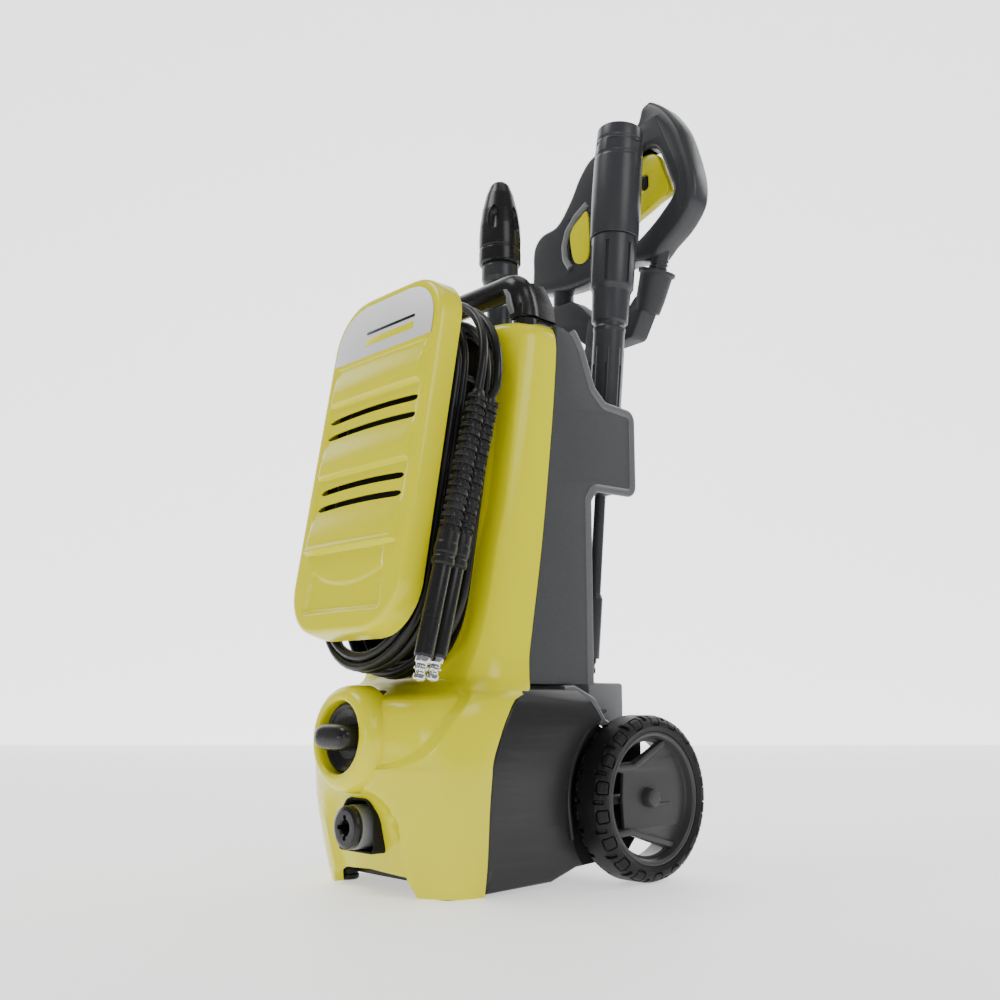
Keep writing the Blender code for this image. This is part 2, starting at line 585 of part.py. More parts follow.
# ---------------------------------------------------------------- wheels and handle
def wheel(side, name):
    """One wheel: rim with three windows and its tyre, spinning on the axle."""
    out = (side, 0, 0)
    place = Vector((0, *AXLE.yz))
    edge = RIM_R - 0.0003
    rim = turned(f"wheel_rim_{name}", [(0.0063, 0.1460), (0.0130, 0.1460), (0.0150, 0.1430), (0.0540, 0.1430),
                                       (0.0560, 0.1500), (edge, 0.1500), (edge, 0.1130), (0.0600, 0.1130),
                                       (0.0580, 0.1340), (0.0160, 0.1340), (0.0140, 0.1130), (0.0063,
                                                                                              0.1130)],
                 place, out, "black", steps=30, ring=True)
    plane = Matrix.Translation((side * 0.138, *AXLE.yz)) @ SIDE_PLANE
    windows = ([(-0.006, 0.023), (0.022, 0.043), (0.008, 0.053), (-0.014, 0.050), (-0.034, 0.039),
                (-0.044, 0.023)],
               [(-0.006, -0.023), (-0.044, -0.023), (-0.034, -0.039), (-0.014, -0.050), (0.008, -0.053),
                (0.022, -0.043)],
               [(-0.018, 0.016), (-0.048, 0.016), (-0.052, 0.0), (-0.048, -0.016), (-0.018, -0.016)])
    for window in windows:
        outline = fillet([(a, b, 0.003) for a, b in window], 2)
        cut(rim, prism("window_cut", [outline], 0.03, plane))
    tyre = turned(f"tyre_{name}", [(RIM_R, WHEEL_OUT_X - 0.002), (0.0740, WHEEL_OUT_X), (0.0785, 0.1490),
                                   (WHEEL_R, 0.1440), (WHEEL_R, 0.1185), (0.0785, 0.1135),
                                   (0.0740, WHEEL_IN_X), (RIM_R, 0.1120)],
                  place, out, "rubber", steps=30, ring=True)
    hinge_empty(f"wheel_{name}_axis", aim((side * 0.130, *AXLE.yz), out), [rim, tyre])


def handle():
    """Pull-out handle: a bowed bar with its corners, and two legs that slide in the housing."""
    corner = 0.022
    foot_z = 0.5722
    path = [(-LEG_X, BAR_Y, 0.585)]
    for side in (-1, 1):
        bend = [(side * (LEG_X - corner * (1 - math.cos(a))), BAR_Y, BAR_Z - corner * (1 - math.sin(a)))
                for a in (math.radians(15 * k) for k in range(7))]
        path += bend if side < 0 else reversed(bend)
    path.append((LEG_X, BAR_Y, 0.585))
    grip = tube("handle_bar", path, BAR_R, "black", sides=2)
    for side in (-1, 1):
        place = Matrix.Translation((side * LEG_X, LEG_Y, (foot_z + 0.594) / 2))
        join(grip, prism("leg_join", [rounded_rect(0.0125, 0.0200, 0.010)], 0.594 - foot_z, place))
    legs = []
    for side, name in ((1, "right"), (-1, "left")):
        low, high = (side * LEG_X, LEG_Y, 0.270), (side * LEG_X, LEG_Y, foot_z - 0.0004)
        legs.append(rod(f"handle_leg_{name}", low, high, LEG_R, "steel"))
    hinge_empty("handle_axis", Matrix.Translation((0, LEG_Y, 0.57)), [grip, *legs])


# ---------------------------------------------------------------- lances and gun
def lances():
    """Spray lance with its turning head, and the rotor lance, each standing in the holder."""
    down = -LANCE_UP
    head = turned("spray_lance_head", [(0.0, 0.120), (0.0100, 0.120), (0.0100, LANCE_HEAD), (0.0255,
                                                                                             LANCE_HEAD),
                                       (0.0262, 0.006), (0.0245, 0.0), (0.0070, 0.0), (0.0070, 0.030),
                                       (0.0, 0.030)],
                  LANCE_TOP, down, "black", steps=20)
    body = turned("spray_lance", [(0.0, 0.637), (0.0050, 0.637), (0.0055, 0.622), (0.0090, 0.620),
                                  (0.0090, 0.555), (0.0062, 0.550), (0.0062, 0.440), (0.0165, 0.436),
                                  (0.0180, 0.250), (0.0190, 0.242), (0.0205, 0.200), (0.0232, 0.196),
                                  (0.0240, 0.1365), (0.0096, 0.1365), (0.0096, 0.1220), (0.0, 0.1220)],
                  LANCE_TOP, down, "black", steps=18)
    hinge_empty("spray_lance_axis", aim(LANCE_TOP, LANCE_UP), [head, body])
    top = Vector((*ROTOR_XY, ROTOR_TOP_Z))
    nozzle = turned("rotor_nozzle", [(0.0, 0.1080), (0.0240, 0.1080), (0.0262, 0.1000), (0.0250, 0.0750),
                                     (0.0190, 0.0400), (0.0105, 0.0040), (0.0085, 0.0), (0.0040, 0.0),
                                     (0.0040, 0.020), (0.0, 0.020)],
                    top, (0, 0, -1), "black", steps=20)
    tube_part = turned("rotor_lance", [(0.0, 0.607), (0.0050, 0.607), (0.0055, 0.590), (0.0090, 0.588),
                                       (0.0090, 0.522), (0.0062, 0.517), (0.0062, 0.406), (0.0165, 0.402),
                                       (0.0180, 0.240), (0.0150, 0.180), (0.0190, 0.130), (0.0230, 0.1083),
                                       (0.0, 0.1083)],
                       top, (0, 0, -1), "black", steps=18)
    hinge_empty("rotor_lance_axis", aim(top, (0, 0, 1)), [nozzle, tube_part])


def gun():
    """Trigger gun hung behind the lances: frame with a closed grip loop, trigger, lock and insert."""
    frame = [(-0.1157, 0.7364), (-0.1136, 0.7656), (-0.0988, 0.7814), (-0.0699, 0.7868),
             (-0.0466, 0.8110), (-0.0289, 0.8380), (-0.0081, 0.8568), (0.0301, 0.8668), (0.0670, 0.8706),
             (0.0764, 0.8882), (0.0858, 0.8932), (0.0933, 0.8925), (0.1141, 0.8750), (0.1342, 0.8449),
             (0.1467, 0.8094), (0.1544, 0.7763), (0.1544, 0.7537), (0.1486, 0.7382), (0.1311, 0.7198),
             (0.1083, 0.7055), (0.0930, 0.6940), (0.0776, 0.6940), (0.0488, 0.6988), (0.0008, 0.6950),
             (-0.0568, 0.6940), (-0.1106, 0.7065)]
    loop = [(0.0300, 0.7160), (0.0592, 0.7200), (0.0832, 0.7315), (0.1054, 0.7471), (0.1226, 0.7650),
            (0.1170, 0.7866), (0.1080, 0.8120), (0.0990, 0.8290), (0.0860, 0.8355), (0.0680, 0.8300),
            (0.0240, 0.8040), (0.0190, 0.7600)]
    plane = Matrix.Translation((0, GUN_Y, 0)) @ FRONT_PLANE
    pocket = [(0.0980, 0.7500), (0.1285, 0.7650), (0.1270, 0.7900), (0.1180, 0.8160), (0.1040, 0.8340),
              (0.0900, 0.8150)]
    body = prism("gun_frame", [smooth_loop(frame, 2), smooth_loop(loop, 2)], GUN_THICK, plane, "black")
    stub_top = CUP_LOW + CUP_AXIS * 0.075
    stub = rod("stub_join", CUP_LOW + CUP_AXIS * 0.020, stub_top, 0.0100)
    barrel = rod("barrel_join", (-0.072, GUN_Y, 0.700), (-0.072, GUN_Y, 0.6645), 0.0135)
    yoke = box("insert_cut", (-0.046, GUN_Y - 0.03, 0.722), (-0.010, GUN_Y - 0.0125, 0.785))
    join(body, stub, barrel)
    cut(body, prism("pocket_cut", [pocket], 0.0180, plane), yoke,
        box("tongue_cut", (0.040, GUN_Y - 0.009, 0.795), (0.085, GUN_Y + 0.009, 0.846)))
    lever = smooth_loop([(0.0930, 0.8260), (0.1020, 0.8050), (0.1110, 0.7750), (0.0900, 0.7660),
                         (0.0640, 0.7570), (0.0400, 0.7520), (0.0360, 0.7800), (0.0520, 0.8050),
                         (0.0600, 0.8250), (0.0740, 0.8310)], 2)
    trigger = prism("gun_trigger", [lever], 0.0140, plane, "yellow")
    place = plane @ Matrix.Translation((0.0740, 0, 0))
    cut(trigger, prism("lock_cut", [rounded_rect(0.0052, 0.0092, 0.005, 0.796)], 0.04, place))
    lock = prism("trigger_lock", [rounded_rect(0.0048, 0.0088, 0.0046, 0.796)], 0.0160, place, "black")
    insert = box("gun_insert", (-0.0455, GUN_Y - 0.0165, 0.7225), (-0.0105, GUN_Y - 0.0130, 0.7845), "yellow")
    hinge_empty("trigger_axis", aim(TRIGGER_PIVOT, (0, -1, 0)), [trigger, lock])
    hinge_empty("gun_axis", Matrix.Translation((0, GUN_Y, 0.75)), [body, insert])


# ---------------------------------------------------------------- inside
def motor():
    """Electric motor above the pump, with its rotor, bearings, fan and mounts."""
    x, y = MOTOR_XY
    base = Vector((x, y, 0))
    up = (0, 0, 1)
    turned("motor_housing", [(0.0395, 0.3850), (0.0420, 0.3850), (0.0420, 0.2420), (0.0062, 0.2420),
                             (0.0062, 0.2450),
                             (0.0395, 0.2450)], base, up, "steel", ring=True, steps=20)
    turned("motor_stator", [(0.0280, 0.3550), (0.0390, 0.3550), (0.0390, 0.2750), (0.0280, 0.2750)],
           base, up, "copper",
           ring=True, steps=20)
    rotor = turned("motor_rotor", [(0.0, 0.4040), (0.0040, 0.4040), (0.0040, 0.3550), (0.0270, 0.3530),
                                   (0.0270, 0.2770), (0.0040, 0.2750), (0.0040, 0.2250), (0.0, 0.2250)],
                   base, up, "steel", steps=18)
    fan = turned("motor_fan", [(0.0043, 0.4030), (0.0360, 0.3990), (0.0360, 0.3950), (0.0100, 0.3900),
                               (0.0043, 0.3890)],
                 base, up, "black", ring=True, steps=20)
    plate = turned("swash_plate", [(0.0, 0.2246), (0.0240, 0.2246), (0.0240, 0.2186), (0.0, 0.2186)],
                   base, up, "steel")
    for name, low in (("lower", 0.2454), ("upper", 0.3600)):
        turned(f"motor_bearing_{name}", [(0.0043, low + 0.008), (0.0110, low + 0.008), (0.0110, low),
                                         (0.0043, low)],
               base, up, "steel", ring=True, steps=20)
    hinge_empty("motor_axis", Matrix.Translation(base), [rotor, fan, plate])


def pump():
    """Axial piston pump: housing, head, three pistons, their seal and the rubber mount."""
    x, y = MOTOR_XY
    base = Vector((x, y, 0))
    turned("pump_housing", [(0.0, 0.1285), (0.0340, 0.1285), (0.0340, 0.2410), (0.0400, 0.2410),
                            (0.0400, 0.1250), (0.0, 0.1250)],
           base, (0, 0, 1), "silver", steps=20)
    turned("pump_head", [(0.0, 0.1247), (0.0380, 0.1247), (0.0380, 0.0900), (0.0300, 0.0850), (0.0, 0.0850)],
           base, (0, 0, 1), "brass", steps=20)
    for k in range(3):
        angle = 2 * math.pi * k / 3
        spot = base + Vector((0.019 * math.cos(angle), 0.019 * math.sin(angle), 0))
        turned(f"piston_{k + 1}", [(0.0, 0.2183), (0.0085, 0.2183), (0.0085, 0.2150), (0.0050, 0.2140),
                                   (0.0050, 0.1290), (0.0, 0.1290)],
               spot, (0, 0, 1), "steel", steps=14)
    seal = rod("piston_seal", base + Vector((0, 0, 0.1288)), base + Vector((0, 0, 0.1360)), 0.0330, "rubber")
    for k in range(3):
        angle = 2 * math.pi * k / 3
        spot = base + Vector((0.019 * math.cos(angle), 0.019 * math.sin(angle), 0))
        cut(seal, rod("seal_cut", spot + Vector((0, 0, 0.12)), spot + Vector((0, 0, 0.14)), 0.0053, sides=14))
    turned("pump_mount", [(0.0260, 0.0845), (0.0330, 0.0845), (0.0330, 0.0245), (0.0260, 0.0245)],
           base, (0, 0, 1), "rubber", ring=True)


def pipes():
    """Pressure pipe to the outlet, suction pipe from the inlet, and the run capacitor."""
    z = 0.105
    down = [(0, -0.0646, z), (0, -0.072, z), (0, -0.080, z - 0.004), (0, -0.087, z - 0.013),
            (0, -0.091, z - 0.025), (0, -0.097, OUTLET.z + 0.008), (0, -0.105, OUTLET.z + 0.001),
            (0, -0.1215, OUTLET.z)]
    tube("outlet_pipe", down, 0.0055, "steel")
    across = [(0.012, 0.0130, z), (0.016, 0.028, z + 0.001), (0.026, 0.045, z + 0.006),
              (0.038, 0.060, z + 0.011), (0.045, 0.078, 0.118), (0.045, 0.0955, 0.118)]
    tube("suction_pipe", across, 0.0060, "rubber")
    rod("run_capacitor", (0.065, -0.100, 0.030), (0.065, -0.100, 0.085), 0.0150, "grey")


def main():
    """Build every part."""
    start_scene()
    for build in (front_shell, rear_shell, base_shell, handle_guide, feet, lance_holder, lance_rest,
                  gun_holder,
                  cable_hooks, fittings, panel, hose, switch, outlet, handle, lances, gun, motor, pump,
                  pipes):
        build()
    wheel(1, "right")
    wheel(-1, "left")
    bpy.context.view_layer.update()


main()
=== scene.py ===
"""Visual model of an upright pressure washer on two wheels.

Metres, +Z up, the front faces -Y.  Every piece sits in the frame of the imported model.
"""

from __future__ import annotations

import json
import logging
from dataclasses import dataclass
from enum import Enum
from functools import partialmethod
from math import asin, copysign, cos, hypot, pi, radians, sin, sqrt, tan, tau
from typing import Any, Callable, Sequence

import bmesh
import bpy
import numpy as np
from bpy.types import Material, Mesh, Object
from mathutils import Matrix, Vector

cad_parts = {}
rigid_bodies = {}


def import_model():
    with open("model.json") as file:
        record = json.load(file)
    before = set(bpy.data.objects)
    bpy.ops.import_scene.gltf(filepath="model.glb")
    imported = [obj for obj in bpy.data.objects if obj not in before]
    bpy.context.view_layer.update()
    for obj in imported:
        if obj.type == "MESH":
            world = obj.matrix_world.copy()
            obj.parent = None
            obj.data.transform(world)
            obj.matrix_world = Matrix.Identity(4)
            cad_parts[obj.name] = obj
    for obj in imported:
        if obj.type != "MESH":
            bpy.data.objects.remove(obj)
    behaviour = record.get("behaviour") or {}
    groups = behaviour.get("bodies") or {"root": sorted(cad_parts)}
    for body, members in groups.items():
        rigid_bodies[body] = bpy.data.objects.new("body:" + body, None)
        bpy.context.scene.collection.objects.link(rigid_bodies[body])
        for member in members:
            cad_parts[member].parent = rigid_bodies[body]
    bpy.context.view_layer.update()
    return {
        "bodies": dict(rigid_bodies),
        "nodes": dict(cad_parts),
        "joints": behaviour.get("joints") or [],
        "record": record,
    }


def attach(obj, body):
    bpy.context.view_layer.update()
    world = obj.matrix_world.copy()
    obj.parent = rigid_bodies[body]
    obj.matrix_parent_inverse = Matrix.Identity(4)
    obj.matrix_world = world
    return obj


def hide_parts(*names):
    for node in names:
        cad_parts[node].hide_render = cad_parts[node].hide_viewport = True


log = logging.getLogger("washer")

Point = Sequence[float]
Outline = list[tuple[float, float]]


class Body(str, Enum):
    """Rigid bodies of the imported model."""

    MACHINE = "machine"
    WHEEL_RIGHT = "wheel_right"
    WHEEL_LEFT = "wheel_left"
    HANDLE = "handle"
    SWITCH = "switch"
    COLLAR = "outlet_collar"
    SPRAY_LANCE = "spray_lance"
    SPRAY_HEAD = "spray_head"
    ROTOR_LANCE = "rotor_lance"
    GUN = "gun"
    TRIGGER = "trigger"
    LOCK = "trigger_lock"
    HOOK = "cable_hook"


# Shaders
class Net:
    """Builder over one material's node tree."""

    def __init__(self, name: str) -> None:
        """Start a named material."""
        self.material = bpy.data.materials.new(name)
        self.material.use_nodes = True
        self.tree = self.material.node_tree
        self.shader = self.tree.nodes["Principled BSDF"]

    def node(self, kind: str, inputs: dict[int | str, Any] | None = None, out: int | str = 0,
             **settings: Any) -> "Val":
        """Add any node.

        Args:
            kind: node type without its ShaderNode prefix.
            inputs: input name or index to a number, colour or Val.
            out: output name or index that is returned.
            **settings: node properties.

        Returns:
            The chosen output, wrapped.
        """
        node = self.tree.nodes.new("ShaderNode" + kind)
        for key, value in settings.items():
            setattr(node, key, value)
        for key, value in (inputs or {}).items():
            if isinstance(value, Val):
                self.tree.links.new(value.socket, node.inputs[key])
            else:
                node.inputs[key].default_value = value
        return Val(self, node.outputs[out])

    def place(self) -> "Val":
        """Object coordinates in metres."""
        return self.node("TexCoord", out="Object")

    def noise(self, scale: float, detail: float = 3.0, rough: float = 0.5, at: "Val | None" = None) -> "Val":
        """Noise from 0 to 1 with a number of features per metre."""
        return self.node(
            "TexNoise", {"Vector": at or self.place(), "Scale": scale, "Detail": detail, "Roughness": rough},
            out="Fac")

    def cells(self, scale: float, at: "Val | None" = None) -> "Val":
        """Distance to the nearest cell centre, for pebbled textures."""
        return self.node("TexVoronoi", {"Vector": at or self.place(), "Scale": scale}, out="Distance")

    def fade(self, value: "Val", low: float, high: float) -> "Val":
        """Smooth step of a value from 0 at low to 1 at high."""
        return self.node(
            "MapRange", {"Value": value, "From Min": low, "From Max": high}, out="Result",
            interpolation_type="SMOOTHSTEP")

    def mix(self, fac: "Val", low: Point, high: Point) -> "Val":
        """Blend two colours.

        Args:
            fac: blend from 0 to 1.
            low: colour at 0.
            high: colour at 1.

        Returns:
            The blend.
        """
        node = self.tree.nodes.new("ShaderNodeMix")
        node.data_type = "RGBA"
        self.tree.links.new(fac.socket, node.inputs[0])
        for index, colour in ((6, low), (7, high)):
            if isinstance(colour, Val):
                self.tree.links.new(colour.socket, node.inputs[index])
            else:
                node.inputs[index].default_value = (*colour, 1.0)
        return Val(self, node.outputs[2])

    def bump(self, height: "Val", distance: float, strength: float = 1.0) -> None:
        """Drive the surface normal from a height."""
        normal = self.node("Bump", {"Height": height, "Distance": distance, "Strength": strength}, out="Normal")
        self.link("Normal", normal)

    def link(self, name: str, value: "Val") -> None:
        """Drive an input of the surface shader."""
        self.tree.links.new(value.socket, self.shader.inputs[name])

    def fix(self, **values: float) -> None:
        """Set constant shader inputs; underscores stand for spaces."""
        for name, value in values.items():
            self.shader.inputs[name.replace("_", " ")].default_value = value


class Val:
    """A socket that combines with numbers and other sockets."""

    def __init__(self, net: Net, socket: bpy.types.NodeSocket) -> None:
        """Wrap a socket of a net."""
        self.net = net
        self.socket = socket

    def _math(self, operation: str, other: "Val | float", swap: bool = False) -> "Val":
        """One maths node on this and another value."""
        pair = (other, self) if swap else (self, other)
        return self.net.node("Math", dict(enumerate(pair)), operation=operation)

    __add__ = partialmethod(_math, "ADD")
    __radd__ = partialmethod(_math, "ADD", swap=True)
    __sub__ = partialmethod(_math, "SUBTRACT")
    __rsub__ = partialmethod(_math, "SUBTRACT", swap=True)
    __mul__ = partialmethod(_math, "MULTIPLY")
    __rmul__ = partialmethod(_math, "MULTIPLY", swap=True)


@dataclass(frozen=True)
class Plastic:
    """Moulded plastic with its surface texture, faint flow marks and handling haze."""

    colour: tuple[float, float, float]
    rough: float
    grain: float = 900.0
    depth: float = 0.00002
    haze: float = 0.06
    tone: float = 0.04
    coat: float = 0.0
    shine: float = 0.32

    def make(self, name: str) -> Material:
        """Build the material.

        Args:
            name: name of what is made.

        Returns:
            The material.
        """
        net = Net(name)
        cloud = net.noise(9.0, 4.0)
        fine = net.noise(self.grain, 2.0, 0.6)
        darker = [c * (1 - self.tone) for c in self.colour]
        lighter = [min(1.0, c * (1 + self.tone)) for c in self.colour]
        net.link("Base Color", net.mix(cloud, darker, lighter))
        scuff = net.fade(net.noise(55.0, 6.0, 0.7), 0.52, 0.75)
        net.link("Roughness", self.rough + scuff * self.haze + (fine - 0.5) * 0.04)
        net.bump(fine + 0.3 * net.noise(self.grain * 0.12, 2.0), self.depth)
        net.fix(Coat_Weight=self.coat, Coat_Roughness=0.06, Specular_IOR_Level=self.shine)
        return net.material


@dataclass(frozen=True)
class Pebbled(Plastic):
    """Plastic from a spark-eroded mould: a dense pebbled grain."""

    def make(self, name: str) -> Material:
        """Build the material.

        Args:
            name: name of what is made.

        Returns:
            The material.
        """
        net = Net(name)
        pebble = net.cells(self.grain)
        speck = net.fade(net.noise(self.grain * 0.8, 1.0), 0.45, 0.75)
        cloud = net.noise(6.0, 3.0)
        base = net.mix(
            cloud, [c * (1 - self.tone) for c in self.colour], [c * (1 + self.tone) for c in self.colour])
        net.link("Base Color", net.mix(speck * 0.5, base, [c * 1.7 for c in self.colour]))
        net.link("Roughness", self.rough + pebble * 0.1 + cloud * self.haze)
        net.bump(pebble + 0.5 * net.noise(self.grain * 2.0, 2.0), self.depth)
        net.fix(Specular_IOR_Level=self.shine)
        return net.material


@dataclass(frozen=True)
class Rubber(Plastic):
    """Extruded or moulded rubber with dull dust patches."""

    def make(self, name: str) -> Material:
        """Build the material.

        Args:
            name: name of what is made.

        Returns:
            The material.
        """
        net = Net(name)
        fine = net.noise(self.grain, 3.0, 0.7)
        dust = net.fade(net.noise(24.0, 5.0, 0.6), 0.5, 0.8)
        net.link("Base Color", net.mix(dust * 0.35, self.colour, [c + 0.03 for c in self.colour]))
        net.link("Roughness", self.rough + dust * self.haze + fine * 0.05)
        net.bump(fine, self.depth)
        net.fix(Specular_IOR_Level=self.shine)
        return net.material


@dataclass(frozen=True)
class Metal:
    """Turned, brushed or plated metal."""

    colour: tuple[float, float, float]
    rough: float
    brush: tuple[float, float, float] = (1.0, 1.0, 1.0)
    grain: float = 500.0
    depth: float = 0.00001

    def make(self, name: str) -> Material:
        """Build the material.

        Args:
            name: name of what is made.

        Returns:
            The material.
        """
        net = Net(name)
        along = net.node("Mapping", {"Vector": net.place(), "Scale": self.brush})
        lines = net.noise(self.grain, 3.0, 0.6, along)
        cloud = net.noise(14.0, 3.0)
        net.link("Base Color", net.mix(cloud, [c * 0.92 for c in self.colour], self.colour))
        net.link("Roughness", self.rough + lines * 0.1 + cloud * 0.05)
        net.bump(lines, self.depth)
        net.fix(Metallic=1.0)
        return net.material


class Finish(Enum):
    """Every surface finish of the machine."""

    YELLOW = Plastic((0.75, 0.7, 0.0), 0.19, grain=700.0, depth=0.000012, haze=0.02, tone=0.015, shine=0.4)
    DARK = Pebbled((0.046, 0.047, 0.05), 0.46, grain=1500.0, depth=0.00008, haze=0.05, tone=0.1)
    RIM_GREY = Plastic((0.12, 0.123, 0.128), 0.32, tone=0.06)
    BASE_BLACK = Plastic((0.022, 0.022, 0.023), 0.3, grain=1300.0, depth=0.00005, haze=0.025, tone=0.04)
    BLACK = Plastic((0.012, 0.012, 0.013), 0.26, grain=1100.0, depth=0.00002, haze=0.08, tone=0.1)
    LANCE = Plastic((0.036, 0.038, 0.042), 0.3, grain=1400.0, depth=0.00004, haze=0.07, tone=0.08)
    GREY = Plastic((0.2, 0.205, 0.215), 0.4, tone=0.05)
    HOLDER = Pebbled((0.03, 0.032, 0.035), 0.48, grain=1400.0, depth=0.00006, haze=0.05, tone=0.08)
    HOSE = Rubber((0.007, 0.007, 0.008), 0.27, grain=1600.0, depth=0.00004, haze=0.16)
    TYRE = Rubber((0.007, 0.007, 0.007), 0.42, grain=1200.0, depth=0.00008, haze=0.1, shine=0.25)
    RIM = Plastic((0.044, 0.044, 0.046), 0.34, grain=1000.0, depth=0.00004, haze=0.08, tone=0.1)
    RUBBER = Rubber((0.008, 0.008, 0.009), 0.36, grain=900.0, depth=0.0001, haze=0.1)
    SHADOW = Plastic((0.004, 0.004, 0.004), 0.8)
    CHROME = Metal((0.83, 0.84, 0.86), 0.06, grain=300.0, depth=0.000004)
    STEEL = Metal((0.56, 0.57, 0.59), 0.24, brush=(1.0, 1.0, 12.0))
    BADGE = Metal((0.88, 0.885, 0.9), 0.48, brush=(1.0, 14.0, 14.0), grain=160.0, depth=0.00002)
    ALLOY = Metal((0.55, 0.56, 0.57), 0.42, grain=350.0, depth=0.0001)
    BRASS = Metal((0.72, 0.54, 0.26), 0.26)
    COPPER = Metal((0.66, 0.31, 0.16), 0.32, brush=(1.0, 1.0, 20.0))


class Palette:
    """Materials made once each and shared by name."""

    made: dict[Finish, Material] = {}

    @classmethod
    def get(cls, finish: Finish) -> Material:
        """Return a finish's material, making it on first use.

        Args:
            finish: the finish.

        Returns:
            The material.
        """
        if finish not in cls.made:
            cls.made[finish] = finish.value.make("finish_" + finish.name.lower())
        return cls.made[finish]


# Mesh tools
SHARP = 0.0001  # edge width of a cutter's outline
SIDE_PLANE = Matrix(((0, 0, 1), (1, 0, 0), (0, 1, 0))).to_4x4()
FRONT_PLANE = Matrix(((1, 0, 0), (0, 0, -1), (0, 1, 0))).to_4x4()


def aim(start: Point, along: Point) -> Matrix:
    """A matrix whose +Z runs along a direction from a point."""
    return Matrix.Translation(start) @ Vector(along).to_track_quat("Z", "Y").to_matrix().to_4x4()


def linked(name: str, data: bpy.types.ID) -> Object:
    """A new object of some data, linked to the scene.

    Args:
        name: name of the object.
        data: what it shows.

    Returns:
        The object.
    """
    obj = bpy.data.objects.new(name, data)
    bpy.context.scene.collection.objects.link(obj)
    return obj


def evaluated(holder: Object) -> Mesh:
    """The mesh that an object makes with its modifiers; the object goes.

    Args:
        holder: the object.

    Returns:
        The mesh.
    """
    mesh = bpy.data.meshes.new_from_object(holder.evaluated_get(bpy.context.evaluated_depsgraph_get()))
    bpy.data.objects.remove(holder)
    return mesh


def welded(mesh: Mesh, gap: float = 0.000002) -> Mesh:
    """Merge points closer than a gap and make the normals consistent.

    Args:
        mesh: the mesh.
        gap: merge distance.

    Returns:
        The mesh.
    """
    bm = bmesh.new()
    bm.from_mesh(mesh)
    bmesh.ops.remove_doubles(bm, verts=bm.verts, dist=gap)
    bmesh.ops.recalc_face_normals(bm, faces=bm.faces)
    bm.to_mesh(mesh)
    bm.free()
    return mesh


def smooth(value: float, low: float = 0.0, high: float = 1.0) -> float:
    """Smooth step from 0 at low to 1 at high."""
    t = min(1.0, max(0.0, (value - low) / (high - low)))
    return t * t * (3 - 2 * t)


def build(verts: Sequence[Point], faces: Sequence[Sequence[int]], name: str) -> Mesh:
    """A mesh with its normals made consistent.

    Args:
        verts: points.
        faces: corner numbers of each face.
        name: name of what is made.

    Returns:
        The mesh.
    """
    mesh = bpy.data.meshes.new(name)
    mesh.from_pydata([tuple(v) for v in verts], [], faces)
    return welded(mesh)


def loft(rings: Sequence[Sequence[Point]], name: str, closed: bool = True, caps: bool = True) -> Mesh:
    """Skin a list of rings of equal length.

    Args:
        rings: rings of points, all of one length.
        name: name of what is made.
        closed: whether the line closes on itself.
        caps: whether the two ends are filled.

    Returns:
        The mesh.
    """
    count = len(rings[0])
    verts = [p for ring in rings for p in ring]
    faces = []
    last = count if closed else count - 1
    for r in range(len(rings) - 1):
        for i in range(last):
            j = (i + 1) % count
            faces.append((r * count + i, r * count + j, (r + 1) * count + j, (r + 1) * count + i))
    if caps:
        faces.append(tuple(range(count)))
        faces.append(tuple(range((len(rings) - 1) * count, len(rings) * count)))
    return build(verts, faces, name)


def rounded(corners: Sequence[Point], radius: float, steps: int = 3, closed: bool = True) -> Outline:
    """Round the corners of a flat outline; a corner may carry its own radius.

    Args:
        corners: corner points, each with its own radius as an optional third value.
        radius: radius in metres.
        steps: steps round each bend or turn.
        closed: whether the line closes on itself.

    Returns:
        The outline's points.
    """
    outline: Outline = []
    count = len(corners)
    for i, corner in enumerate(corners):
        here = Vector(corner[:2])
        own = corner[2] if len(corner) > 2 else radius
        if own <= 0 or (not closed and i in (0, count - 1)):
            outline.append(tuple(here))
            continue
        before = Vector(corners[i - 1][:2]) - here
        after = Vector(corners[(i + 1) % count][:2]) - here
        bend = tan(max(0.02, before.angle(after)) / 2)
        reach = min(own / max(bend, 0.02), 0.48 * before.length, 0.48 * after.length)
        start = here + before.normalized() * reach
        end = here + after.normalized() * reach
        for k in range(steps + 1):
            t = k / steps
            outline.append(tuple(start * (1 - t) ** 2 + here * 2 * t * (1 - t) + end * t ** 2))
    return outline


def oblong(low: Point, high: Point, radius: float, steps: int = 3) -> Outline:
    """A rectangle between two corners, with rounded corners."""
    return rounded([(low[0], low[1]), (high[0], low[1]), (high[0], high[1]), (low[0], high[1])], radius, steps)


def lathe(
        name: str, profile: Sequence[Point], start: Point, along: Point, steps: int = 48, edge: float = 0.0006,
        ring: bool = False) -> Mesh:
    """Turn a (radius, height) profile about an axis, with softened corners.

    Args:
        name: name of what is made.
        profile: (radius, height) corners, each with an optional own radius.
        start: where the axis has height zero.
        along: direction of the axis.
        steps: steps round the axis.
        edge: width of the rounded edges.
        ring: whether the profile closes on itself.

    Returns:
        The mesh.
    """
    line = rounded(profile, edge, 3, closed=ring)
    if ring:
        line = line + line[:1]
    place = aim(start, along)
    rings = []
    for radius, height in line:
        rings.append(
            [place @ Vector((radius * cos(tau * k / steps), radius * sin(tau * k / steps), height))
            for k in range(steps)])
    return loft(rings, name, caps=False)


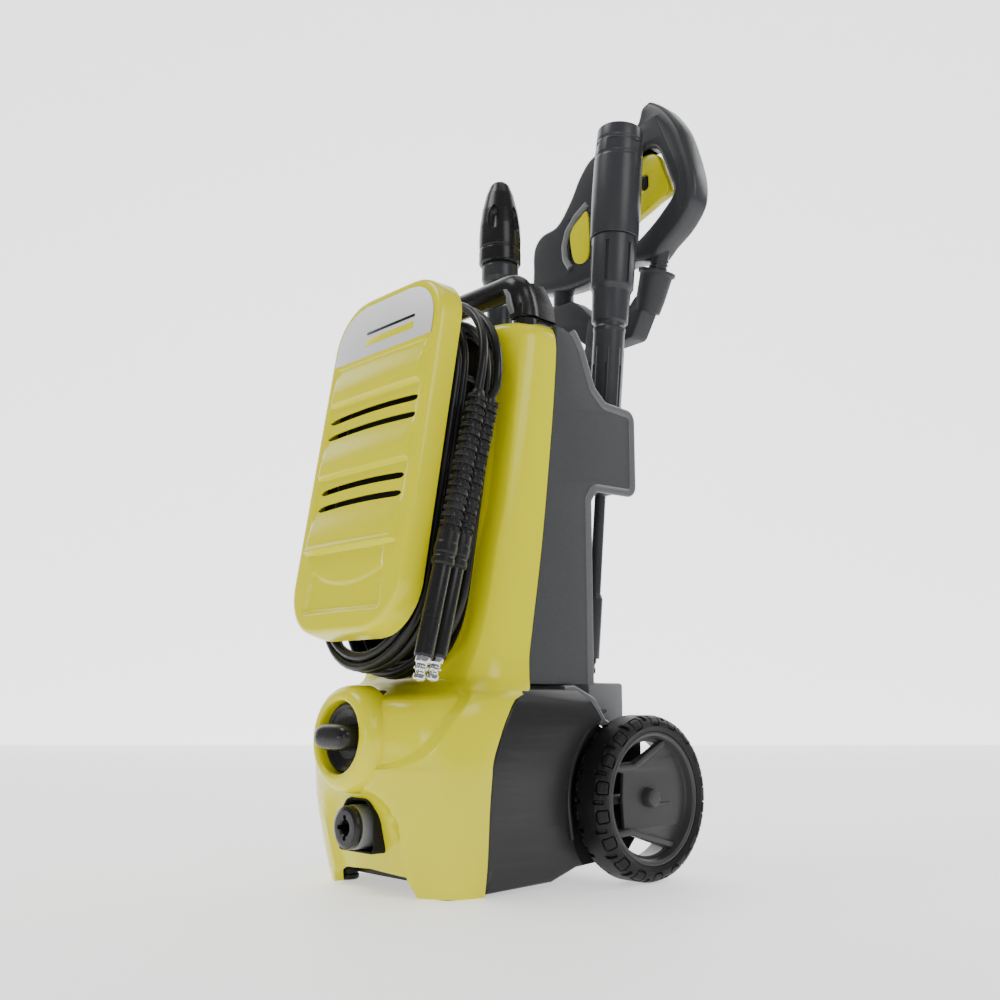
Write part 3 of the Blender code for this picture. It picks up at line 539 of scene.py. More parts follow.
def curve_part(
        name: str, loops: Sequence[Sequence[Point]], thickness: float, place: Matrix,
        edge: float = 0.0008) -> Mesh:
    """A flat plate cut from outlines, with rounded edges on both faces.

    Args:
        name: name of what is made.
        loops: outlines; the inner ones are holes.
        thickness: full thickness.
        place: matrix from the flat drawing to the machine.
        edge: width of the rounded edges.

    Returns:
        The mesh.
    """
    data = bpy.data.curves.new(name, "CURVE")
    data.dimensions = "2D"
    data.fill_mode = "BOTH"
    data.extrude = thickness / 2 - edge
    data.bevel_depth = edge
    data.bevel_resolution = 2
    data.offset = -edge
    for loop in loops:
        spline = data.splines.new("POLY")
        spline.points.add(len(loop) - 1)
        for point, (a, b) in zip(spline.points, loop):
            point.co = (a, b, 0, 1)
        spline.use_cyclic_u = True
    return curve_mesh(name, data, place)


def curve_mesh(name: str, data: bpy.types.Curve, place: Matrix) -> Mesh:
    """Turn curve data into a welded mesh.

    Args:
        name: name of what is made.
        data: what it shows.
        place: matrix from the flat drawing to the machine.

    Returns:
        The mesh.
    """
    mesh = evaluated(linked(name + "_curve", data))
    bpy.data.curves.remove(data)
    mesh.transform(place)
    mesh.materials.clear()
    return welded(mesh)


def tube(
        name: str, points: Sequence[Point], radius: float | Callable[[float], float], sides: int = 12,
        flat: float = 1.0) -> Mesh:
    """A tube along points, with a frame carried along without twist.

    Args:
        name: name of what is made.
        points: points in order.
        radius: radius, or a function of the way along from 0 to 1.
        sides: sides of the section.
        flat: ratio of the section's two widths.

    Returns:
        The mesh.
    """
    path = [Vector(p) for p in points]
    tangents = [(path[min(i + 1, len(path) - 1)] - path[max(i - 1, 0)]).normalized() for i in range(len(path))]
    side = tangents[0].orthogonal().normalized()
    rings = []
    for i, (point, tangent) in enumerate(zip(path, tangents)):
        side = (side - tangent * side.dot(tangent)).normalized()
        other = tangent.cross(side)
        size = radius(i / (len(path) - 1)) if callable(radius) else radius
        rings.append(
            [point + side * size * cos(tau * k / sides) + other * size * flat * sin(tau * k / sides)
            for k in range(sides)])
    return loft(rings, name)


def block(name: str, low: Point, high: Point, edge: float = 0.002, steps: int = 2) -> Mesh:
    """A box between two corners with rounded edges.

    Args:
        name: name of what is made.
        low: lower end or corner.
        high: upper end or corner.
        edge: width of the rounded edges.
        steps: segments of each edge.

    Returns:
        The mesh.
    """
    bm = bmesh.new()
    bmesh.ops.create_cube(bm, size=1)
    low, high = Vector(low), Vector(high)
    bmesh.ops.transform(
        bm, matrix=Matrix.Translation((low + high) / 2) @ Matrix.Diagonal((*(high - low), 1)), verts=bm.verts)
    if edge:
        bmesh.ops.bevel(bm, geom=bm.edges[:], offset=edge, segments=steps, affect="EDGES", profile=0.5)
    mesh = bpy.data.meshes.new(name)
    bm.to_mesh(mesh)
    bm.free()
    return mesh


def merge(name: str, meshes: Sequence[Mesh]) -> Mesh:
    """Put several meshes into one, side by side.

    Args:
        name: name of what is made.
        meshes: meshes, which are used up.

    Returns:
        The mesh.
    """
    bm = bmesh.new()
    for mesh in meshes:
        bm.from_mesh(mesh)
        bpy.data.meshes.remove(mesh)
    joined = bpy.data.meshes.new(name)
    bm.to_mesh(joined)
    bm.free()
    return joined


def changed(mesh: Mesh, kind: str, **settings: Any) -> Mesh:
    """Apply one modifier to a mesh.

    Args:
        mesh: the mesh.
        kind: type of the modifier.
        **settings: its properties.

    Returns:
        The mesh.
    """
    holder = linked("holder", mesh)
    modifier = holder.modifiers.new("change", kind)
    for key, value in settings.items():
        setattr(modifier, key, value)
    return evaluated(holder)


def carved(mesh: Mesh, cutters: Sequence[Mesh], operation: str = "DIFFERENCE") -> Mesh:
    """Cut shapes out of a mesh, or join them to it.

    Args:
        mesh: the mesh.
        cutters: meshes of the shapes.
        operation: DIFFERENCE or UNION.

    Returns:
        The mesh.
    """
    for cutter in cutters:
        tool = linked("tool", cutter)
        mesh = changed(mesh, "BOOLEAN", operation=operation, solver="EXACT", object=tool)
        bpy.data.objects.remove(tool)
    return mesh


def piece(
        name: str, mesh: Mesh, finish: Finish, body: Body, *replaced: str, sharp: float = 35,
        slot: str | None = None) -> Object:
    """Place a finished piece on its body.

    Args:
        name: piece name.
        mesh: its shape, in the machine's frame.
        finish: its surface.
        body: the body that it moves with.
        *replaced: CAD nodes that it stands for.
        sharp: edges over this angle, in degrees, stay sharp.
        slot: not used; the record's material slot for a piece that replaces nothing.

    Returns:
        The new object.
    """
    mesh.name = name
    mesh.materials.clear()
    mesh.materials.append(Palette.get(finish))
    mesh.shade_smooth()
    mesh.set_sharp_from_angle(angle=radians(sharp))
    obj = linked(name, mesh)
    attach(obj, body.value)
    if replaced:
        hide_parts(*replaced)
    log.info("placed %s on %s, %d faces", name, body.value, len(mesh.polygons))
    return obj


class RepeatTree:
    """Geometry Nodes group that repeats a shape along a step and round the Z axis."""

    shared: "RepeatTree | None" = None

    def __init__(self) -> None:
        """Make the group and its sockets."""
        self.group = bpy.data.node_groups.new("repeat_shape", "GeometryNodeTree")
        self.keys: dict[str, str] = {}
        for name, kind in (
                ("Shape", "Geometry"), ("Count", "Int"), ("Step", "Vector"), ("Turn", "Float"),
                ("Material", "Material")):
            socket = self.group.interface.new_socket(name, in_out="INPUT", socket_type="NodeSocket" + kind)
            self.keys[name] = socket.identifier
        self.group.interface.new_socket("Geometry", in_out="OUTPUT", socket_type="NodeSocketGeometry")
        self.entry = self.group.nodes.new("NodeGroupInput")
        self.wire()

    def add(self, kind: str, links: dict[int | str, bpy.types.NodeSocket], **settings: Any) -> bpy.types.Node:
        """Add a node, set its properties and link its inputs.

        Args:
            kind: type of the node.
            links: input name or index to an output.
            **settings: its properties.

        Returns:
            The node.
        """
        node = self.group.nodes.new(kind)
        for key, value in settings.items():
            setattr(node, key, value)
        for key, value in links.items():
            self.group.links.new(value, node.inputs[key])
        return node

    def wire(self) -> None:
        """Points along a line, the shape on each, then real geometry with its material."""
        given = self.entry.outputs
        line = self.add(
            "GeometryNodeMeshLine", {"Count": given["Count"], "Offset": given["Step"]}, mode="OFFSET")
        index = self.add("GeometryNodeInputIndex", {})
        angle = self.add("ShaderNodeMath", {0: index.outputs[0], 1: given["Turn"]}, operation="MULTIPLY")
        euler = self.add("ShaderNodeCombineXYZ", {"Z": angle.outputs[0]})
        spread = self.add(
            "GeometryNodeInstanceOnPoints",
            {"Points": line.outputs[0], "Instance": given["Shape"], "Rotation": euler.outputs[0]})
        real = self.add("GeometryNodeRealizeInstances", {"Geometry": spread.outputs[0]})
        dressed = self.add(
            "GeometryNodeSetMaterial", {"Geometry": real.outputs[0], "Material": given["Material"]})
        self.add("NodeGroupOutput", {"Geometry": dressed.outputs[0]})

    def apply(self, mesh: Mesh, count: int, step: Point, turn: float) -> Mesh:
        """Repeat a mesh and return the result as a plain mesh.

        Args:
            mesh: the mesh.
            count: number of copies.
            step: move from one copy to the next.
            turn: rotation from one copy to the next.

        Returns:
            The mesh.
        """
        host = linked("repeat_host", mesh)
        modifier = host.modifiers.new("repeat", "NODES")
        modifier.node_group = self.group
        values = {"Count": count, "Step": tuple(float(v) for v in step), "Turn": float(turn),
                  "Material": Palette.get(Finish.RUBBER)}
        for name, value in values.items():
            modifier[self.keys[name]] = value
        result = evaluated(host)
        result.materials.clear()
        return result


def repeated(mesh: Mesh, count: int, step: Point = (0, 0, 0), turn: float = 0.0) -> Mesh:
    """Repeat a shape with the shared Geometry Nodes group.

    Args:
        mesh: the shape, about the Z axis.
        count: number of copies.
        step: move from one copy to the next.
        turn: rotation about Z from one copy to the next, in radians.

    Returns:
        One mesh with every copy.
    """
    RepeatTree.shared = RepeatTree.shared or RepeatTree()
    return RepeatTree.shared.apply(mesh, count, step, turn)


class Curve1D:
    """A smooth table of values against one position."""

    def __init__(self, *rows: Point) -> None:
        """Take rows of a position and its values."""
        self.at = np.array([r[0] for r in rows])
        self.values = np.array([r[1:] for r in rows])

    def __call__(self, position: float) -> np.ndarray:
        """Value at a position, by a cubic through the rows that doesn't overshoot.

        Args:
            position: where to read.

        Returns:
            The values.
        """
        at, values = self.at, self.values
        x = min(max(position, at[0]), at[-1])
        i = min(int(np.searchsorted(at, x, side="right")) - 1, len(at) - 2)
        step = at[i + 1] - at[i]
        t = (x - at[i]) / step
        rise = (values[i + 1] - values[i]) / step
        slopes = [self._slope(i, rise), self._slope(i + 1, rise)]
        return (
            values[i] * (1 + 2 * t) * (1 - t) ** 2 + slopes[0] * step * t * (1 - t) ** 2
            + values[i + 1] * t * t * (3 - 2 * t) - slopes[1] * step * t * t * (1 - t))

    def _slope(self, i: int, default: np.ndarray) -> np.ndarray:
        """Slope at a row: the harmonic mean of its neighbours', or the default at an end.

        Args:
            i: row number.
            default: slope at the two ends.

        Returns:
            One slope for each value.
        """
        if i == 0 or i == len(self.at) - 1:
            return default
        before = (self.values[i] - self.values[i - 1]) / (self.at[i] - self.at[i - 1])
        after = (self.values[i + 1] - self.values[i]) / (self.at[i + 1] - self.at[i])
        same = before * after > 0
        return np.where(same, 2 * before * after / np.where(same, before + after, 1.0), 0.0)


# Shared lines of the machine
LEAN = radians(9.45)
PANEL_POINT = Vector((0, -0.1776, 0.4))
PANEL_UP = Vector((0, sin(LEAN), cos(LEAN)))
PANEL_OUT = Vector((0, -cos(LEAN), sin(LEAN)))
SEAM = Curve1D(
    (0.0015, -0.105), (0.03, -0.107), (0.08, -0.1095), (0.115, -0.108), (0.145, -0.098), (0.165, -0.087),
    (0.1775, -0.0765), (0.188, -0.053), (0.195, -0.0505), (0.22, -0.046), (0.25, -0.041), (0.33, -0.028),
    (0.42, -0.0165), (0.5, -0.008), (0.545, -0.005), (0.5675, -0.005))
AXLE = Vector((0, 0.0804, 0.0813))
KNOB_POINT = Vector((0, -0.196, 0.143))
KNOB_AXIS = Vector((0, -cos(radians(3)), sin(radians(3))))


def on_panel(x: float, up: float, out: float = 0.0) -> Vector:
    """A point in the winding panel's own across, up and out directions."""
    return PANEL_POINT + Vector((x, 0, 0)) + PANEL_UP * up + PANEL_OUT * out


def panel_place(out: float = 0.0) -> Matrix:
    """The winding panel's frame, moved out along its normal."""
    turn = Matrix((Vector((1, 0, 0)), PANEL_UP, PANEL_OUT)).transposed().to_4x4()
    return Matrix.Translation(PANEL_POINT + PANEL_OUT * out) @ turn


@dataclass(frozen=True)
class FrontShell:
    """Yellow front housing: bulging base, nose under the winding and the tall leaning front."""

    wall: float = 0.0025
    rows: int = 170
    body_depth: float = 0.088
    ridge_depth: float = 0.0075

    def front(self, height: float) -> float:
        """Front face of the tall housing, parallel to the winding panel."""
        return PANEL_POINT.y + (self.body_depth + (height - PANEL_POINT.z) * sin(LEAN)) / cos(LEAN)

    def sections(self) -> Curve1D:
        """Half width, front position and squareness against height.

        Returns:
            The table.
        """
        low = [
            (0.0015, 0.104, -0.16, 2.6), (0.03, 0.11, -0.168, 2.5), (0.08, 0.116, -0.18, 2.4),
            (0.115, 0.118, -0.188, 2.2), (0.145, 0.118, -0.192, 2.2), (0.165, 0.1168, -0.189, 2.3),
            (0.178, 0.114, -0.181, 2.4), (0.188, 0.1095, -0.15, 2.8), (0.2, 0.1052, -0.1235, 3.2)]
        tall = [(z, 0.1015, self.front(z), 3.4) for z in (0.225, 0.26, 0.33, 0.42, 0.5, 0.54)]
        top = [
            (0.552, 0.1006, self.front(0.548), 3.3), (0.5605, 0.0975, self.front(0.545) + 0.002, 3.1),
            (0.5655, 0.093, self.front(0.54) + 0.006, 3.0), (0.5674, 0.086, self.front(0.54) + 0.012, 2.9)]
        return Curve1D(*low, *tall, *top)

    @staticmethod
    def angles(edge_y: float, band: float, seam_y: float, front_y: float, power: float) -> list[
            tuple[float, int]]:
        """Column angles of one row, from the left seam to the right, dense at the ridge's two creases.

        Args:
            edge_y: where the ridge band starts.
            band: width of the band.
            seam_y: the row's rear end.
            front_y: the row's front end.
            power: squareness of the row.

        Returns:
            Pairs of an angle from the side to the front, and the side's sign.
        """
        stops = [0.0]
        for y in (edge_y, edge_y - band):
            forward = min(1.0, max(0.02, (y - seam_y) / (front_y - seam_y)))
            angle = min(asin(forward ** (power / 2)), 1.22 + 0.08 * len(stops))
            stops += [angle - 0.006, angle + 0.006]
        stops.append(pi / 2)
        counts = (20, 1, 7, 1, 34)
        half = [a + (b - a) * k / count for a, b, count in zip(stops, stops[1:], counts) for k in range(count)]
        half.append(pi / 2)
        return [(angle, -1) for angle in half] + [(angle, 1) for angle in reversed(half[:-1])]

    def surface(self) -> tuple[list[list[Vector]], list[list[Vector]]]:
        """Outer and inner rows of points from the left seam round the front to the right seam.

        Returns:
            The two grids.
        """
        sections = self.sections()
        ridge = Curve1D(
            (0, -0.2), (0.112, -0.196), (0.1168, -0.178), (0.1241, -0.168), (0.1394, -0.1549),
            (0.1596, -0.1421), (0.1911, -0.115), (0.2291, -0.0996), (0.2574, -0.0921), (0.331, -0.0783),
            (0.3665, -0.0705), (0.4312, -0.0606), (0.4983, -0.052), (0.5419, -0.0469), (0.568, -0.044))
        heights = [0.0015 + (0.5674 - 0.0015) * k / self.rows for k in range(self.rows)]
        heights = sorted(
            heights + [0.1775, 0.1829, 0.1855, 0.187, 0.188, 0.1905, 0.1925, 0.5605, 0.563, 0.5655, 0.5668,
            0.5674])
        outer, inner = [], []
        top = heights[-1]
        for z in heights:
            half_x, front_y, power = sections(z)
            seam_y = float(SEAM(z)[0])
            line, deep = [], []
            edge_y = float(ridge(z)[0])
            band = 0.0095 + 0.004 * smooth(z, 0.15, 0.3)
            fade = smooth(0.56 - z, 0.0, 0.022) * smooth(z, 0.105, 0.13) * (0.55 + 0.45 * smooth(z, 0.125, 0.2))
            for angle, side in self.angles(edge_y, band, seam_y, front_y, power):
                across = side * cos(angle) ** (2 / power)
                forward = sin(angle) ** (2 / power)
                y = seam_y + (front_y - seam_y) * forward
                ahead = min(1.0, max(0.0, (edge_y - y) / band))
                inward = Vector((-across * abs(across) ** (power - 1), forward + 0.0001, 0)).normalized()
                base = Vector((half_x * across, y, z))
                line.append(base + inward * (self.ridge_depth * ahead * fade))
                deep.append(
                    base + inward * (self.ridge_depth + self.wall) - Vector((0, 0, self.wall * z / top)))
            outer.append(line)
            inner.append(deep)
        return outer, inner

    def relief(self, point: Vector) -> Vector:
        """Press the arch-shaped outlet recess into the low front.

        Args:
            point: a point of the surface.

        Returns:
            The moved point.
        """
        x, z = point.x, point.z
        if point.y > -0.13 or z > 0.125:
            return point
        reach = 0.066 + 0.01 * (0.1 - z)
        arch = 1 - smooth(hypot(max(0.0, abs(x) - 0.018), max(0.0, z - 0.055)) / 0.04, 0.8, 1.06)
        side = 1 - smooth(abs(x), reach - 0.012, reach)
        return point + Vector((0, 0.0085, 0)) * arch * side

    def mesh(self) -> Mesh:
        """Skin, thicken and cut the housing.

        Returns:
            The mesh.
        """
        outer, inner = self.surface()
        grids = [[[self.relief(p) for p in line] for line in grid] for grid in (outer, inner)]
        rows, count = len(outer), len(outer[0])
        verts = [p for grid in grids for line in grid for p in line]
        back = rows * count
        faces = []
        for base, flip in ((0, False), (back, True)):
            quads = [
                (base + r * count + i, base + r * count + i + 1, base + (r + 1) * count + i + 1,
                base + (r + 1) * count + i) for r in range(rows - 1) for i in range(count - 1)]
            quads.append(tuple(base + (rows - 1) * count + i for i in range(count)))
            faces += [tuple(reversed(face)) for face in quads] if flip else quads
        border = list(range(count)) + [r * count + count - 1 for r in range(1, rows)]
        border += [r * count for r in range(rows - 1, 0, -1)]
        faces += [(a, b, back + b, back + a) for a, b in zip(border, border[1:] + border[:1])]
        shell = build(verts, faces, "front_shell_skin")
        hole = lathe(
            "bezel_hole", [(0, 0.05), (0.0465, 0.05), (0.0465, -0.05), (0, -0.05)], KNOB_POINT, KNOB_AXIS)
        mouth = rounded(
            [(-0.0285, 0.037), (0.0285, 0.037), (0.0285, 0.07, 0.02), (0.016, 0.0865, 0.012),
            (-0.016, 0.0865, 0.012), (-0.0285, 0.07, 0.02)], 0.005, 4)
        opening = curve_part(
            "outlet_hole", [mouth], 0.09, Matrix.Translation((0, -0.19, 0)) @ FRONT_PLANE, SHARP)
        feet = rounded(
            [(-0.074, -0.02), (0.074, -0.02), (0.06, 0.017, 0.018), (0, 0.0205, 0.05), (-0.06, 0.017, 0.018)],
            0.0, 8)
        arch = curve_part("feet_hole", [feet], 0.14, Matrix.Translation((0, -0.2, 0)) @ FRONT_PLANE, SHARP)
        legs = [
            lathe("leg_hole", [(0, 0.6), (0.014, 0.6), (0.014, 0.54), (0, 0.54)], (side * 0.0785, -0.028, 0),
            (0, 0, 1)) for side in (-1, 1)]
        return carved(shell, [hole, opening, arch, *legs])

    def build(self) -> None:
        """Place the housing."""
        piece("front_housing", self.mesh(), Finish.YELLOW, Body.MACHINE, "front_shell", sharp=32)


@dataclass(frozen=True)
class WindingPanel:
    """Yellow cover of the hose winding with its shingled face, slots, recess and badge."""

    half_x: float = 0.0935
    half_up: float = 0.1835
    mid_up: float = 0.0195
    depth: float = 0.025
    radius: float = 0.052
    step: float = 0.0066

    def half_width(self, up: float, inset: float) -> float:
        """Half width of the rounded outline at a height.

        Args:
            up: height on the panel.
            inset: how far inside the outline.

        Returns:
            Half the width there.
        """
        half_x, half_up = self.half_x - inset, self.half_up - inset
        radius = self.radius - inset * 0.6
        over = abs(up - self.mid_up) - (half_up - radius)
        if over <= 0:
            return half_x
        over = min(over, radius)
        return half_x - radius + sqrt(max(0.0, radius * radius - over * over))

    def height(self, x: float, up: float) -> float:
        """Relief of the face: crown, rising shingles over the slots, and the lower recess.

        Args:
            x: place across.
            up: height on the panel.

        Returns:
            Height over the flat face.
        """
        crown = 0.0016 * (1 - (x / self.half_x) ** 2)
        side = smooth(0.077 - abs(x), 0.0, 0.005)
        rise = 0.0
        for top, bottom in ((0.1235, 0.085), (0.042, 0.0043), (-0.036, -0.0765)):
            if bottom - 0.0035 < up < top + 0.01:
                ramp = smooth(top + 0.01 - up, 0.0, top + 0.01 - bottom - 0.008)
                rise = max(rise, ramp * smooth(up, bottom - 0.0035, bottom))
        well = -0.0022 * smooth(up, -0.0775, -0.07) * smooth(0.127 - up, 0.0, 0.002)
        half = 0.066 - 0.1 * (up + 0.14)
        bowl_edge = -0.1 + 0.015 * (1 - (x / 0.062) ** 2) * -1
        recess = smooth(up, -0.143, -0.136) * smooth(bowl_edge + 0.007 - up, 0.0, 0.007) * smooth(
            half - abs(x), 0.0, 0.005)
        under = smooth(-0.0765 - up, 0.0, 0.002) * smooth(up, bowl_edge, bowl_edge + 0.004) * smooth(
            0.06 - abs(x), 0.0, 0.005)
        return crown + side * (self.step * rise + well) - max(0.0046 * recess, 0.0022 * under)

    def mesh(self) -> Mesh:
        """Face grid, rounded rim, side wall and slots.

        Returns:
            The mesh.
        """
        rows, cols = 230, 96
        rings = []
        for inset, out in (
                (0.0075, 0.0), (0.0062, -0.0002), (0.0048, -0.0008), (0.0037, -0.0018), (0.003, -0.0032),
                (0.0022, -0.0065), (0.0009, -0.0155), (0, -self.depth)):
            loop = []
            ups = [self.mid_up + (self.half_up - inset) * (2 * k / rows - 1) for k in range(rows + 1)]
            low = [(self.half_width(ups[0], inset) * (2 * j / cols - 1), ups[0]) for j in range(cols)]
            high = [(self.half_width(ups[-1], inset) * (1 - 2 * j / cols), ups[-1]) for j in range(cols)]
            right = [(self.half_width(up, inset), up) for up in ups[:-1]]
            left = [(-self.half_width(up, inset), up) for up in reversed(ups[1:])]
            for x, up in low + right + high + left:
                loop.append(
                    on_panel(x, up, out + (0.0016 * (1 - (x / self.half_x) ** 2) if out > -0.01 else 0.0)))
            rings.append(loop)
        side = loft(rings, "panel_side", caps=False)
        verts = []
        for k in range(rows + 1):
            up = self.mid_up + (self.half_up - 0.0075) * (2 * k / rows - 1)
            for j in range(cols + 1):
                x = self.half_width(up, 0.0075) * (2 * j / cols - 1)
                verts.append(on_panel(x, up, self.height(x, up)))
        faces = [
            (k * (cols + 1) + j, k * (cols + 1) + j + 1, (k + 1) * (cols + 1) + j + 1,
            (k + 1) * (cols + 1) + j) for k in range(rows) for j in range(cols)]
        skin = merge("panel_skin", [build(verts, faces, "panel_face"), side])
        bm = bmesh.new()
        bm.from_mesh(welded(skin, 0.00003))
        face = min(bm.faces, key=lambda f: (f.calc_center_median() - on_panel(0, 0, 0)).length)
        if face.normal.dot(PANEL_OUT) < 0:
            bmesh.ops.reverse_faces(bm, faces=bm.faces)
        bm.to_mesh(skin)
        bm.free()
        cover = changed(skin, "SOLIDIFY", thickness=0.0013, offset=-1)
        slots = ((0.066, 0.0755), (0.048, 0.0755), (-0.013, 0.071), (-0.031, 0.071))
        return carved(cover, [self.slot(up, half) for up, half in slots])

    def slot(self, up: float, half: float) -> Mesh:
        """Cutter for one bowed slot with round ends.

        Args:
            up: height on the panel.
            half: half width.

        Returns:
            The mesh.
        """
        top = [
            (x, up + 0.0022 * (1 - (x / half) ** 2) + 0.0034 * sqrt(max(0, 1 - (x / half) ** 16)))
            for x in (half * (2 * k / 40 - 1) for k in range(41))]
        low = [(x, y - 0.0068 * sqrt(max(0, 1 - (x / half) ** 16))) for x, y in reversed(top)][1:-1]
        return curve_part("slot_cut", [top + low], 0.03, panel_place(), SHARP)

    def badge(self) -> None:
        """Brushed plate with a plain stripe and bar."""
        inset = 0.0115
        points = [(self.half_width(up, inset), up) for up in np.linspace(0.1915, 0.131, 30)]
        outline = points + [(-x, up) for x, up in reversed(points)]
        plate = curve_part("badge_plate", [outline], 0.001, panel_place(0.0014), 0.0003)
        piece("badge_plate", plate, Finish.BADGE, Body.MACHINE, "panel_badge")
        stripe = oblong((-0.03, 0.143), (0.052, 0.151), 0.002)
        piece(
            "badge_stripe", curve_part("badge_stripe", [stripe], 0.0006, panel_place(0.002), 0.0002),
            Finish.YELLOW, Body.MACHINE, slot="yellow_shell")
        bar = oblong((-0.03, 0.156), (0.052, 0.1592), 0.0015)
        piece(
            "badge_bar", curve_part("badge_bar", [bar], 0.0006, panel_place(0.002), 0.0002), Finish.BLACK,
            Body.MACHINE, slot="black_plastic")

    def pictogram(self) -> Mesh:
        """A small raised lightning bolt in a frame, as on any powered tool.

        Returns:
            The mesh.
        """
        frame = rounded([(-0.01, -0.1345), (0.0085, -0.1345), (0.01, -0.112), (-0.0085, -0.112)], 0.0015)
        inner = rounded([(-0.0088, -0.1333), (0.0073, -0.1333), (0.0088, -0.1132), (-0.0073, -0.1132)], 0.0012)
        bolt = [
            (0.0035, -0.1145), (-0.0045, -0.124), (0, -0.124), (-0.003, -0.1322), (0.0058, -0.1222),
            (0.0012, -0.1222)]
        place = panel_place(-0.0046)
        return merge(
            "pictogram", [curve_part("mark_frame", [frame, inner], 0.0018, place, 0.0002),
            curve_part("mark_bolt", [bolt], 0.0018, place, 0.0002)])

    def build(self) -> None:
        """Place the cover, its badge, mark, the hub behind it and a near-black sheet of painted shade behind
        the slots.
        """
        piece("winding_cover", self.mesh(), Finish.YELLOW, Body.MACHINE, "winding_panel", sharp=28)
        self.badge()
        piece("cover_mark", self.pictogram(), Finish.YELLOW, Body.MACHINE, slot="yellow_shell")
        walls = [oblong((-x, -y), (x, y), r, 8) for x, y, r in ((0.06, 0.12, 0.03), (0.057, 0.117, 0.027))]
        drum = curve_part("drum", walls, 0.0745, panel_place(-0.05), 0.0008)
        piece("winding_drum", drum, Finish.DARK, Body.MACHINE, "winding_hub")
        # Near-black sheet behind the slots: painted shade, so the slots read dark.
        dark = oblong((-0.08, -0.12), (0.08, 0.15), 0.03)
        piece(
            "slot_backing", curve_part("slot_backing", [dark], 0.0016, panel_place(-0.015), 0.0005),
            Finish.SHADOW, Body.MACHINE, slot="dark_shell")


